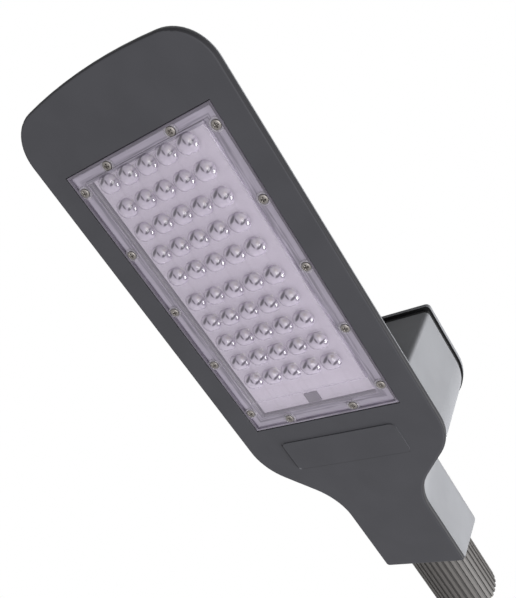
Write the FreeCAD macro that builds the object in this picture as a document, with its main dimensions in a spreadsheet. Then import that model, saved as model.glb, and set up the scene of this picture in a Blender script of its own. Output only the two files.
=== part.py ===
import FreeCAD
import Part
import Sketcher
import math
import os
from types import SimpleNamespace

# Street light head: a die-cast face plate with LED lenses below and cooling fins above, a driver box with
# a pole socket on its rear half, and the ribbed arm tube that the socket grips.
# Lengths are in millimetres. X runs across, Y from the nose to the pole and Z up. Sketches measure height
# from the plate's underside, and each piece's placement lowers it so that the tube's axis is at Z = 0.

SIZES = (
    ("lamp_length", 412.0, "socket mouth to the tip of the nose"),
    ("shoulder_width", 143.2, "plate across the shoulders"),
    ("nose_width", 139.2, "plate across the nose"),
    ("neck_width", 61.0, "plate across the neck"),
    ("shoulder_reach", 124.4, "socket mouth to the corner of the shoulder"),
    ("nose_bow_radius", 333.0, "bow of the nose edge"),
    ("nose_corner_radius", 26.0, "nose corners"),
    ("shoulder_radius", 41.0, "outer bend of the shoulder"),
    ("neck_radius", 43.5, "inner bend from shoulder to neck"),
    ("rim_thickness", 4.0, "plate at its edge"),
    ("rim_rounding", 1.8, "lower edge of the plate"),
    ("axis_height", 26.8, "tube axis above the plate's underside"),
    ("window_width", 107.9, "lens recess across"),
    ("window_length", 209.8, "lens recess along"),
    ("window_reach", 369.3, "socket mouth to the front of the lens recess"),
    ("tray_wall", 4.0, "metal round the lens recess"),
    ("tray_roof", 4.0, "metal above the board"),
    ("tray_draft", 10.0, "lean of the tray's sides, degrees"),
    ("fin_count", 11, "cooling fins"),
    ("fin_pitch", 10.0, "fin to fin"),
    ("fin_thickness", 2.4, "one fin"),
    ("fin_rear_height", 31.0, "fin tops beside the box"),
    ("fin_front_height", 9.0, "fin tops at the nose"),
    ("fin_front_inset", 14.0, "tip of the nose to the fins"),
    ("fin_front_slope", 7.0, "run of the fins' front slope"),
    ("fin_rear_gap", 2.0, "fins to the foot of the box"),
    ("panel_width", 85.6, "raised panel under the shoulders, across"),
    ("panel_length", 26.0, "raised panel, along"),
    ("panel_gap", 14.3, "rear of the lens recess to the panel"),
    ("panel_height", 0.8, "raised panel"),
    ("panel_radius", 4.0, "corners of the panel"),
    ("post_radius", 5.0, "posts under the box"),
    ("led_columns", 5, "lenses across"),
    ("led_rows", 5, "lenses along, in one bank"),
    ("column_pitch", 14.5, "lens to lens, across"),
    ("row_pitch", 16.7, "lens to lens, along"),
    ("bank_gap", 19.9, "last row of the front bank to the first of the rear one"),
    ("first_row_inset", 14.05, "front of the recess to the first row"),
    ("dome_radius", 6.0, "lens at its foot"),
    ("dome_height", 4.1, "lens above its field"),
    ("dome_bevel", 2.2, "slope round the top of a lens"),
    ("dome_sides", 8, "sides of a lens"),
    ("lens_recess", 1.8, "plate's underside to the lens sheet"),
    ("lens_sheet", 1.8, "lens sheet"),
    ("lens_clearance", 0.4, "round the lens sheet"),
    ("lens_rim_width", 1.6, "raised rim of the lens sheet"),
    ("lens_rim_height", 1.6, "raised rim above the sheet"),
    ("lens_field_width", 87.0, "raised field that carries the lenses, across"),
    ("lens_field_front", 6.2, "field's front edge before the first row"),
    ("lens_field_rear", 18.0, "field's rear edge behind the last row"),
    ("lens_field_height", 1.7, "field above the sheet"),
    ("lens_gasket", 1.0, "gasket under the lens sheet"),
    ("gasket_clearance", 0.6, "gasket to the screws and to the pocket"),
    ("board_width", 84.6, "LED board across"),
    ("board_front", 4.0, "board's front edge before the first row"),
    ("board_rear", 31.5, "board's rear edge behind the last row"),
    ("board_thickness", 1.6, "LED board"),
    ("board_clearance", 1.0, "round the board in its pocket"),
    ("board_sink", 0.4, "board's face above the gasket's seat"),
    ("thermal_sheet", 0.4, "heat-conducting sheet behind the board"),
    ("chip_side", 5.0, "LED chip"),
    ("chip_height", 0.8, "LED chip"),
    ("plug_width", 9.4, "board connector across"),
    ("plug_length", 7.4, "board connector along"),
    ("plug_offset", -0.8, "connector from the centre line"),
    ("plug_inset", 26.8, "last row to the connector's centre"),
    ("plug_stand", 1.1, "connector above the board's face"),
    ("plug_clearance", 0.2, "round the connector"),
    ("lens_screw_inset", 4.9, "edge of the recess to the lens screws"),
    ("lens_screw_pitch", 45.3, "lens screws along the sides"),
    ("lens_screw_rows", 5, "lens screws along one side"),
    ("lens_screw_start", 12.6, "front of the recess to the first side screw"),
    ("lens_screw_half_span", 23.9, "lens screws on the ends, from the centre line"),
    ("lens_screw_head_radius", 2.75, "head"),
    ("lens_screw_head_height", 1.9, "head"),
    ("lens_screw_radius", 1.25, "shank"),
    ("lens_screw_length", 7.6, "shank"),
    ("screw_sides", 8, "sides of small screws, bushes and their holes"),
    ("screw_clearance", 0.1, "shank to hole"),
    ("hole_runout", 0.5, "blind hole past the screw's tip"),
    ("box_front_reach", 185.9, "socket mouth to the foot of the box's front"),
    ("box_rear_reach", 104.0, "socket mouth to the foot of the box's rear"),
    ("box_height", 64.6, "top of the box's walls"),
    ("box_lean", 10.4, "rearward lean of the box over its height"),
    ("box_inset", 0.5, "plate's edge to the box's wall"),
    ("box_wall", 3.2, "walls of the box"),
    ("box_floor", 3.0, "floor of the box"),
    ("box_corner_radius", 3.0, "front corners of the box"),
    ("tray_clearance", 0.3, "box round the tray"),
    ("socket_height", 54.2, "top of the socket"),
    ("socket_rounding", 12.5, "upper edges of the socket"),
    ("mouth_lean", 14.0, "rearward lean of the mouth over the socket's height"),
    ("mouth_rounding", 2.5, "corners of the plate at the mouth"),
    ("bore_depth", 86.0, "tube's seat in the socket"),
    ("bore_clearance", 0.3, "tube to bore"),
    ("lid_thickness", 4.5, "lid"),
    ("lid_overhang", 0.6, "lid past the walls"),
    ("lid_front_overhang", 2.0, "lid past the front wall"),
    ("lid_bevel", 1.5, "upper edge of the lid"),
    ("lid_panel_inset", 14.0, "lid's edge to its raised panel"),
    ("lid_panel_height", 1.2, "lid's raised panel"),
    ("lid_gasket", 3.0, "gasket under the lid"),
    ("lid_gasket_inset", 0.8, "wall's outer face to the gasket"),
    ("boss_radius", 4.5, "lid's screw bosses"),
    ("boss_wall_gap", 2.0, "front bosses to the box's side"),
    ("boss_front_inset", 11.0, "front bosses behind the top of the front wall"),
    ("boss_rear_side", 13.6, "rear bosses from the box's side"),
    ("boss_rear_offset", 6.0, "rear bosses behind the shoulder's corner"),
    ("lid_screw_radius", 2.0, "shank"),
    ("lid_screw_length", 14.0, "shank"),
    ("lid_screw_head_radius", 4.0, "head"),
    ("lid_screw_head_height", 2.6, "head"),
    ("box_screw_gap", 5.95, "front box screws from the tray's side"),
    ("box_screw_front", 166.0, "socket mouth to the front box screws"),
    ("post_gap", 30.9, "rear posts from the box's side wall"),
    ("post_reach", 109.4, "socket mouth to the rear posts"),
    ("box_screw_radius", 1.5, "shank"),
    ("box_screw_depth", 3.6, "shank in the plate"),
    ("box_screw_head_radius", 3.6, "head"),
    ("box_screw_head_height", 2.4, "head"),
    ("wire_radius", 2.8, "wire passage"),
    ("wire_offset", 2.0, "passage behind the connector's centre"),
    ("seal_inner_radius", 4.4, "ring seal round the wire passage"),
    ("seal_outer_radius", 7.0, "ring seal round the wire passage"),
    ("seal_thickness", 1.5, "ring seal"),
    ("bush_flange_radius", 4.2, "wire grommet's flange"),
    ("bush_flange_height", 1.2, "wire grommet's flange"),
    ("bush_bore_radius", 1.4, "wire grommet's hole"),
    ("bush_clearance", 0.1, "rubber bushes in their holes"),
    ("driver_side_gap", 7.0, "driver's feet to the box's side wall"),
    ("driver_length", 46.0, "driver along"),
    ("driver_height", 30.0, "driver"),
    ("driver_rounding", 2.5, "driver's long edges"),
    ("driver_rear_gap", 9.0, "driver to the box's rear wall"),
    ("bracket_thickness", 1.5, "driver's angle feet"),
    ("bracket_foot", 12.0, "foot from the driver's end"),
    ("bracket_length", 20.0, "feet along"),
    ("bracket_height", 20.0, "upright of a foot"),
    ("driver_screw_radius", 1.4, "shank"),
    ("driver_screw_depth", 2.4, "shank in the floor"),
    ("driver_screw_head_radius", 2.8, "head"),
    ("driver_screw_head_height", 1.8, "head"),
    ("driver_screw_spread", 6.0, "driver screws from the foot's middle"),
    ("terminal_width", 36.0, "terminal block across"),
    ("terminal_length", 12.0, "terminal block along"),
    ("terminal_height", 16.0, "terminal block"),
    ("terminal_offset", 26.0, "terminal block from the centre line"),
    ("terminal_gap", 3.0, "terminal block to the driver"),
    ("terminal_poles", 3, "terminals"),
    ("terminal_screw_radius", 2.2, "terminal screws"),
    ("terminal_screw_depth", 3.0, "terminal screws"),
    ("terminal_screw_drop", 1.0, "screws below the block's top"),
    ("earth_side", 36.0, "earth screw from the centre line"),
    ("earth_gap", 10.0, "earth screw to the driver"),
    ("earth_radius", 2.0, "shank"),
    ("earth_depth", 2.4, "shank in the floor"),
    ("earth_head_radius", 4.4, "hexagon head, over corners"),
    ("earth_head_height", 3.0, "hexagon head"),
    ("cable_radius", 6.0, "cable passage"),
    ("gland_flange_radius", 8.5, "cable grommet's flange"),
    ("gland_flange", 2.0, "cable grommet's flange"),
    ("gland_bore_radius", 3.5, "cable grommet's hole"),
    ("gland_short", 2.0, "cable grommet's stem short of the box"),
    ("bolt_first", 26.0, "socket mouth to the first clamp bolt"),
    ("bolt_pitch", 34.0, "clamp bolt to clamp bolt"),
    ("bolt_count", 2, "clamp bolts"),
    ("bolt_radius", 4.0, "clamp bolt"),
    ("bolt_boss_radius", 9.0, "bosses on the socket"),
    ("bolt_boss_height", 1.5, "bosses on the socket"),
    ("bolt_clearance", 0.15, "clamp bolt to hole"),
    ("nut_radius", 7.5, "hexagons, over corners"),
    ("nut_height", 4.0, "lock nut"),
    ("bolt_grip_gap", 0.5, "lock nut to bolt head"),
    ("bolt_head_height", 5.3, "bolt head"),
    ("tube_radius", 24.15, "arm tube over its ribs"),
    ("tube_bore_radius", 20.6, "arm tube's bore"),
    ("tube_stub", 62.0, "tube past the mouth"),
    ("tube_end_gap", 0.3, "tube to the bottom of its seat"),
    ("rib_count", 36, "ribs round the tube"),
    ("rib_width", 2.2, "one rib"),
    ("rib_height", 0.8, "one rib"),
)

# Ratios of a 45 degree bend: what its corner moves when the outline is drawn in, and the bend's tangent.
BEND = math.tan(math.radians(22.5))
DIAGONAL = math.sqrt(2.0)

# Sides of a bolt head or nut.
HEXAGON = 6

doc = FreeCAD.newDocument("street_light_head")


class Size:
    """A length with its value and the formula, in the sheet's names, that gives it."""

    def __init__(self, value, text):
        self.value = float(value)
        self.text = text

    @staticmethod
    def of(other):
        if isinstance(other, Size):
            return other
        return Size(other, f"({float(other):.9g})")

    def __add__(self, other):
        other = Size.of(other)
        return Size(self.value + other.value, f"({self.text} + {other.text})")

    def __sub__(self, other):
        other = Size.of(other)
        return Size(self.value - other.value, f"({self.text} - {other.text})")

    def __mul__(self, other):
        other = Size.of(other)
        return Size(self.value * other.value, f"({self.text} * {other.text})")

    def __truediv__(self, other):
        other = Size.of(other)
        return Size(self.value / other.value, f"({self.text} / {other.text})")

    def __neg__(self):
        return Size(-self.value, f"(-1 * {self.text})")

    def __radd__(self, other):
        return Size.of(other) + self

    def __rsub__(self, other):
        return Size.of(other) - self

    def __rmul__(self, other):
        return Size.of(other) * self

    def root(self):
        return Size(math.sqrt(self.value), f"sqrt({self.text})")


def write_sheet():
    """Put the sizes in a sheet, one named cell each, and return them by name."""
    sheet = doc.addObject("Spreadsheet::Sheet", "Sizes")
    sizes = {}
    for row, (name, value, note) in enumerate(SIZES, start=1):
        sheet.set(f"A{row}", name)
        sheet.set(f"B{row}", str(value))
        sheet.set(f"C{row}", note)
        sheet.setAlias(f"B{row}", name)
        sizes[name] = Size(value, f"Sizes.{name}")
    doc.recompute()
    return SimpleNamespace(**sizes)


S = write_sheet()
ZERO = Size.of(0)
PAIR = Size.of(2)


# Levels above the plate's underside, and places along the lamp, that several pieces share.
lens_top = S.lens_recess + S.lens_sheet
ledge_level = lens_top + S.lens_gasket
board_face = ledge_level + S.board_sink
board_back = board_face + S.board_thickness
pocket_level = board_back + S.thermal_sheet
tray_top = pocket_level + S.tray_roof
floor_level = tray_top + S.box_floor
lid_level = S.box_height + S.lid_gasket
lid_top = lid_level + S.lid_thickness
tube_top = S.axis_height + S.tube_radius
bore_radius = S.tube_radius + S.bore_clearance

window_front = -S.window_reach
window_rear = window_front + S.window_length
first_row = window_front + S.first_row_inset
rear_bank = first_row + (S.led_rows - 1) * S.row_pitch + S.bank_gap
last_row = rear_bank + (S.led_rows - 1) * S.row_pitch
first_column = -S.column_pitch * (S.led_columns - 1) / 2
plug_y = last_row + S.plug_inset
wire_y = plug_y + S.wire_offset
shoulder_y = -S.shoulder_reach
box_front = -S.box_front_reach
box_rear = -S.box_rear_reach
box_slope = S.box_lean / S.box_height
room_front = box_front + S.box_wall
room_rear = box_rear - S.box_wall
driver_rear = room_rear + box_slope * floor_level - S.driver_rear_gap
driver_front = driver_rear - S.driver_length
driver_middle = driver_rear - S.driver_length / 2
room_half = S.shoulder_width / 2 - S.box_inset - S.box_wall
half_tray = S.window_width / 2 + S.tray_wall
driver_half = room_half - S.driver_side_gap - S.bracket_foot

nose_depth = S.nose_bow_radius - (S.nose_bow_radius * S.nose_bow_radius
                                  - S.nose_width * S.nose_width / 4).root()
nose_y = nose_depth - S.lamp_length
neck_y = shoulder_y + (S.shoulder_width - S.neck_width) / 2
mouth_slope = S.mouth_lean / S.socket_height
mouth_end = mouth_slope * S.socket_height
room_inset = S.box_inset + S.box_wall
gland_seat = S.bore_depth + S.gland_flange
cable_wall = -(room_rear + box_slope * S.axis_height) - gland_seat


def side_x(y):
    """Half the plate's width at y, on the straight side between nose and shoulder."""
    taper = (S.shoulder_width - S.nose_width) / 2 / (shoulder_y - nose_y)
    return S.shoulder_width / 2 - (shoulder_y - y) * taper


def mirrored(points):
    """Points of the right half, front to rear, closed by their mirror image on the left."""
    return list(points) + [(-x, y) for x, y in reversed(points)]


def rectangle(half_width, front, rear, middle=ZERO):
    return [(middle - half_width, front), (middle + half_width, front),
            (middle + half_width, rear), (middle - half_width, rear)]


def polygon(centre, radius, sides):
    """Corners of a regular outline round a centre."""
    turns = [2 * math.pi * i / sides for i in range(sides)]
    return [(centre[0] + radius * math.cos(turn), centre[1] + radius * math.sin(turn)) for turn in turns]


def box_outline(inset, front, rear, level=ZERO, corner=None):
    """Plan of the leaning box at a level, drawn in by inset, with its rounded shoulders.

    Front and rear are measured at the plate's underside, and corner rounds the front corners. The bends
    come back by their edges' numbers.
    """
    radius = S.shoulder_radius - inset
    corner_x = S.shoulder_width / 2 - inset
    corner_y = shoulder_y - inset * BEND
    reach = radius * BEND
    front_x = side_x(front) - inset
    points = [(front_x, front)] if corner is None else [(front_x - corner, front), (front_x, front + corner)]
    bends = {} if corner is None else {0: corner}
    bends[len(points)] = radius
    points += [(corner_x, corner_y - reach),
               (corner_x - reach / DIAGONAL, corner_y + reach / DIAGONAL),
               (corner_x - (rear - corner_y), rear)]
    outline = mirrored([(x, y + box_slope * level) for x, y in points])
    last = len(outline) - 2
    bends.update({last - edge: size for edge, size in bends.items()})
    return outline, bends


def new_body(name):
    """An empty piece whose own heights start at the plate's underside."""
    body = doc.addObject("PartDesign::Body", name)
    body.Label = name
    body.AllowCompound = True
    body.setExpression("Placement.Base.z", (-S.axis_height).text)
    return body


def new_sketch(body, name, plane="XY_Plane", offset=ZERO):
    """A sketch on one of the body's own planes, moved along that plane's normal."""
    sketch = body.newObject("Sketcher::SketchObject", name)
    support = next(item for item in body.Origin.OriginFeatures if item.Role == plane)
    sketch.AttachmentSupport = [(support, "")]
    sketch.MapMode = "FlatFace"
    sketch.setExpression("AttachmentOffset.Base.z", offset.text)
    return sketch


def fix(sketch, kind, *where, size):
    """Add a dimension to the sketch, bound to its formula."""
    index = sketch.addConstraint(Sketcher.Constraint(kind, *where, size.value))
    sketch.setExpression(f"Constraints[{index}]", size.text)


def bow(start, end, radius):
    """Arc from start to end that swells to the right of the way from one to the other."""
    chord = end - start
    rise = math.sqrt(radius * radius - chord.Length ** 2 / 4)
    left = FreeCAD.Vector(-chord.y, chord.x, 0).normalize()
    centre = (start + end) / 2 + left * rise
    first = math.atan2(start.y - centre.y, start.x - centre.x)
    last = math.atan2(end.y - centre.y, end.x - centre.x)
    return Part.ArcOfCircle(Part.Circle(centre, FreeCAD.Vector(0, 0, 1), radius), first, last)


def add_loop(sketch, points, bows=None):
    """A closed outline through the points, anticlockwise, with the edges named in bows as arcs."""
    bows = bows or {}
    corners = [FreeCAD.Vector(x.value, y.value, 0) for x, y in points]
    ends = corners[1:] + corners[:1]
    shapes = [bow(start, end, bows[i].value) if i in bows else Part.LineSegment(start, end)
              for i, (start, end) in enumerate(zip(corners, ends))]
    edges = sketch.addGeometry(shapes, False)
    following = edges[1:] + edges[:1]
    sketch.addConstraint([Sketcher.Constraint("Coincident", edge, 2, after, 1)
                          for edge, after in zip(edges, following)])
    for i, edge in enumerate(edges):
        fix(sketch, "DistanceX", -1, 1, edge, 1, size=points[i][0])
        fix(sketch, "DistanceY", -1, 1, edge, 1, size=points[i][1])
        if i in bows:
            fix(sketch, "Radius", edge, size=bows[i])


def add_circles(sketch, centres, radius):
    for x, y in centres:
        shape = Part.Circle(FreeCAD.Vector(x.value, y.value, 0), FreeCAD.Vector(0, 0, 1), radius.value)
        edge = sketch.addGeometry(shape, False)
        fix(sketch, "DistanceX", -1, 1, edge, 3, size=x)
        fix(sketch, "DistanceY", -1, 1, edge, 3, size=y)
        fix(sketch, "Radius", edge, size=radius)


def add_small_rounds(sketch, centres, radius):
    """Outlines of small screws, bushes and their holes, drawn with few sides because they repeat."""
    for centre in centres:
        add_loop(sketch, polygon(centre, radius, int(S.screw_sides.value)))


def lean_rearward(feature, way):
    """Let a feature run along the box's lean instead of straight up or down."""
    feature.UseCustomVector = True
    feature.AlongSketchNormal = True
    feature.Direction = FreeCAD.Vector(0, 0, way)
    feature.setExpression("Direction.y", (box_slope * way).text)


def grow(body, sketch, name, length, down=False, both=False, draft=None, leaning=False):
    """Pad a sketch along its normal, or against it, or to both sides."""
    feature = body.newObject("PartDesign::Pad", name)
    feature.Profile = sketch
    feature.setExpression("Length", length.text)
    feature.Reversed = down
    feature.SideType = "Symmetric" if both else "One side"
    if draft is not None:
        feature.setExpression("TaperAngle", (-draft).text)
    if leaning:
        lean_rearward(feature, 1)
    doc.recompute()
    return feature


def cut(body, sketch, name, length, up=False, both=False, leaning=False):
    """Pocket a sketch against its normal, along it (up) or to both sides."""
    before = body.Tip.Shape.Volume
    feature = body.newObject("PartDesign::Pocket", name)
    feature.Profile = sketch
    feature.setExpression("Length", length.text)
    feature.Reversed = up and not leaning
    feature.SideType = "Symmetric" if both else "One side"
    if leaning:
        lean_rearward(feature, 1)
    doc.recompute()
    if not feature.Shape.Volume < before - 1e-3:
        raise RuntimeError(f"{body.Label}: {name} removes nothing")
    return feature


def pick_edges(body, kind, name, chosen):
    """Start a feature of a kind on the edges of the piece so far that the test picks."""
    base = body.Tip
    names = [f"Edge{i}" for i, edge in enumerate(base.Shape.Edges, start=1) if chosen(edge)]
    if not names:
        raise RuntimeError(f"{body.Label}: {name} finds no edge")
    feature = body.newObject(kind, name)
    feature.Base = (base, names)
    return feature


def round_edges(body, name, radius, chosen):
    """Round the edges of the piece so far that the test picks."""
    feature = pick_edges(body, "PartDesign::Fillet", name, chosen)
    feature.setExpression("Radius", radius.text)
    doc.recompute()


def bevel_edges(body, name, size, chosen):
    """Bevel the edges of the piece so far that the test picks."""
    feature = pick_edges(body, "PartDesign::Chamfer", name, chosen)
    feature.setExpression("Size", size.text)
    doc.recompute()


def near(value, size):
    return abs(value - size.value) < 1e-3


def upright_at(*places):
    """A test for upright edges that stand on one of the places, on either side of the lamp."""
    def chosen(edge):
        ends = [vertex.Point for vertex in edge.Vertexes]
        if len(ends) != 2 or abs(ends[0].z - ends[1].z) < 1e-3:
            return False
        return any(all(near(abs(p.x), x) and near(p.y, y) for p in ends) for x, y in places)
    return chosen


def level_at(level):
    """A test for edges that lie at one level."""
    return lambda edge: all(near(v.Point.z, level) for v in edge.Vertexes)


def mouth_edge(foot):
    """A test for the edges of the leaning mouth, apart from the one at its foot."""
    def chosen(edge):
        ends = [vertex.Point for vertex in edge.Vertexes]
        on_mouth = all(near(p.y, (p.z - S.axis_height) * mouth_slope) for p in ends)
        return on_mouth and any(not near(p.z, foot) for p in ends)
    return chosen


def cut_mouth(body, width):
    """Trim the neck along the leaning plane of the mouth, which meets the tube's axis at Y = 0."""
    low = -S.rim_thickness
    high = S.socket_height * 2
    far = S.mouth_lean * 4
    sketch = new_sketch(body, "mouth_plane", "YZ_Plane")
    add_loop(sketch, [((low - S.axis_height) * mouth_slope, low), (far, low), (far, high),
                      ((high - S.axis_height) * mouth_slope, high)])
    cut(body, sketch, "mouth", width * 2, both=True)


def cut_bore(body, name, radius, start, depth, draw=add_circles):
    """Hole along the tube's axis, from start towards the nose."""
    sketch = new_sketch(body, f"{name}_outline", "XZ_Plane", -start)
    draw(sketch, [(ZERO, S.axis_height)], radius)
    cut(body, sketch, name, depth, up=True)


def repeat_grid(body, sketch, features, name, columns, column_pitch, rows, row_span):
    """Repeat features over columns at a pitch across, and over rows that fill a span along."""
    grid = body.newObject("PartDesign::LinearPattern", name)
    grid.Originals = features
    grid.Direction = (sketch, ["H_Axis"])
    grid.Direction2 = (sketch, ["V_Axis"])
    grid.Mode = "Spacing"
    grid.Mode2 = "Extent"
    grid.setExpression("Offset", column_pitch.text)
    grid.setExpression("Occurrences", columns.text)
    grid.setExpression("Length2", row_span.text)
    grid.setExpression("Occurrences2", rows.text)
    body.Tip = grid
    doc.recompute()


def repeat_over_leds(body, sketch, features):
    """Repeat features that stand at the first LED of each bank over the whole bank."""
    repeat_grid(body, sketch, features, "led_grid", S.led_columns, S.column_pitch, S.led_rows,
                S.row_pitch * (S.led_rows - 1))


def lens_screw_grids():
    """The screws along the sides and on the ends: name, first place, width, rows and span along."""
    side = S.window_width / 2 - S.lens_screw_inset
    span = S.lens_screw_half_span
    return [("side", (-side, window_front + S.lens_screw_start), side * 2, S.lens_screw_rows,
             S.lens_screw_pitch * (S.lens_screw_rows - 1)),
            ("end", (-span, window_front + S.lens_screw_inset), span * 2, PAIR,
             S.window_length - S.lens_screw_inset * 2)]


def cut_lens_holes(body, level, depth):
    """Holes for the lens screws, upward from a level."""
    for name, place, width, rows, span in lens_screw_grids():
        sketch = new_sketch(body, f"{name}_hole_outline", offset=level)
        add_small_rounds(sketch, [place], S.lens_screw_radius + S.screw_clearance)
        hole = cut(body, sketch, f"{name}_hole", depth, up=True)
        repeat_grid(body, sketch, [hole], f"{name}_holes", PAIR, width, rows, span)


def box_screw_places():
    front = (half_tray - S.box_screw_gap, -S.box_screw_front)
    rear = (room_half - S.post_gap, -S.post_reach)
    return [(sign * x, y) for x, y in (front, rear) for sign in (-1, 1)]


def lid_screw_places():
    front = box_front + S.box_lean + S.boss_front_inset
    front_x = side_x(front) - room_inset - S.boss_radius - S.boss_wall_gap
    rear_x = room_half - S.boss_rear_side
    rear = shoulder_y + S.boss_rear_offset
    return [(sign * x, y) for x, y in ((front_x, front), (rear_x, rear)) for sign in (-1, 1)]


def bolt_places():
    return [(ZERO, -(S.bolt_first + S.bolt_pitch * i)) for i in range(int(S.bolt_count.value))]


def bracket_places():
    """Middle of each driver foot's screw line."""
    middle = driver_half + (S.bracket_thickness + S.bracket_foot) / 2
    return [(sign * middle, driver_middle) for sign in (-1, 1)]


def driver_screw_places():
    return [(x, y + step * S.driver_screw_spread) for x, y in bracket_places() for step in (-1, 1)]


def terminal_places():
    poles = int(S.terminal_poles.value)
    pitch = S.terminal_width / poles
    y = driver_front - S.terminal_gap - S.terminal_length / 2
    return [(pitch * (i - (poles - 1) / 2) - S.terminal_offset, y) for i in range(poles)]


LED_BANKS = (("front", first_row), ("rear", rear_bank))
EARTH_PLACE = (S.earth_side, driver_front - S.earth_gap)
WIRE_PLACE = (S.plug_offset, wire_y)


def make_body_plate():
    """Face plate: flat below, with the lens recess; tray, posts and fins above."""
    body = new_body("body_plate")
    half_nose = S.nose_width / 2
    half_neck = S.neck_width / 2
    sketch = new_sketch(body, "outline")
    right = [(half_nose, nose_y), (S.shoulder_width / 2, shoulder_y), (half_neck, neck_y),
             (half_neck, mouth_end)]
    add_loop(sketch, mirrored(right), {len(right) * 2 - 1: S.nose_bow_radius})
    grow(body, sketch, "plate", S.rim_thickness)
    cut_mouth(body, S.neck_width)
    round_edges(body, "nose_corners", S.nose_corner_radius, upright_at((half_nose, nose_y)))
    round_edges(body, "shoulders", S.shoulder_radius, upright_at((S.shoulder_width / 2, shoulder_y)))
    round_edges(body, "neck_bends", S.neck_radius, upright_at((half_neck, neck_y)))
    upright = mouth_edge(ZERO)
    round_edges(body, "mouth_corners", S.mouth_rounding,
                lambda edge: upright(edge) and not level_at(S.rim_thickness)(edge))
    round_edges(body, "lower_edge", S.rim_rounding, level_at(ZERO))

    sketch = new_sketch(body, "tray_outline", offset=S.rim_thickness)
    add_loop(sketch, rectangle(half_tray, window_front - S.tray_wall, window_rear + S.tray_wall))
    grow(body, sketch, "tray", tray_top - S.rim_thickness, draft=S.tray_draft)
    sketch = new_sketch(body, "post_circles", offset=S.rim_thickness)
    add_circles(sketch, [place for place in box_screw_places() if place[1].value > window_rear.value],
                S.post_radius)
    grow(body, sketch, "posts", tray_top - S.rim_thickness)

    root = S.rim_thickness / 2
    tip = S.fin_front_inset - S.lamp_length
    heel = box_front - S.fin_rear_gap
    sketch = new_sketch(body, "fin_profile", "YZ_Plane", -S.fin_pitch * (S.fin_count - 1) / 2)
    add_loop(sketch, [(tip, root), (heel, root), (heel, S.fin_rear_height),
                      (tip + S.fin_front_slope, S.fin_front_height)])
    fin = grow(body, sketch, "fin", S.fin_thickness, both=True)
    fins = body.newObject("PartDesign::LinearPattern", "fins")
    fins.Originals = [fin]
    fins.Direction = (sketch, ["N_Axis"])
    fins.Mode = "Spacing"
    fins.setExpression("Offset", S.fin_pitch.text)
    fins.setExpression("Occurrences", S.fin_count.text)
    body.Tip = fins
    doc.recompute()

    sketch = new_sketch(body, "window_outline")
    add_loop(sketch, rectangle(S.window_width / 2, window_front, window_rear))
    cut(body, sketch, "window", ledge_level, up=True)
    sketch = new_sketch(body, "pocket_outline")
    add_loop(sketch, rectangle(S.board_width / 2 + S.board_clearance,
                               first_row - S.board_front - S.board_clearance,
                               last_row + S.board_rear + S.board_clearance))
    cut(body, sketch, "board_pocket", pocket_level, up=True)
    cut_lens_holes(body, ledge_level, S.lens_screw_length + S.hole_runout - S.lens_sheet - S.lens_gasket)
    sketch = new_sketch(body, "box_hole_rounds", offset=tray_top)
    add_small_rounds(sketch, box_screw_places(), S.box_screw_radius + S.screw_clearance)
    cut(body, sketch, "box_holes", S.box_screw_depth + S.hole_runout)
    sketch = new_sketch(body, "wire_circle", offset=tray_top)
    add_small_rounds(sketch, [WIRE_PLACE], S.wire_radius)
    cut(body, sketch, "wire_hole", S.tray_roof * 1.5)
    cut_bore(body, "tube_seat", bore_radius, S.mouth_lean, S.bore_depth + S.mouth_lean)

    panel_front = window_rear + S.panel_gap
    panel_rear = panel_front + S.panel_length
    sketch = new_sketch(body, "panel_outline")
    add_loop(sketch, rectangle(S.panel_width / 2, panel_front, panel_rear))
    grow(body, sketch, "panel", S.panel_height, down=True)
    half_panel = S.panel_width / 2
    round_edges(body, "panel_corners", S.panel_radius,
                upright_at((half_panel, panel_front), (half_panel, panel_rear)))
    return body


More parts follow.
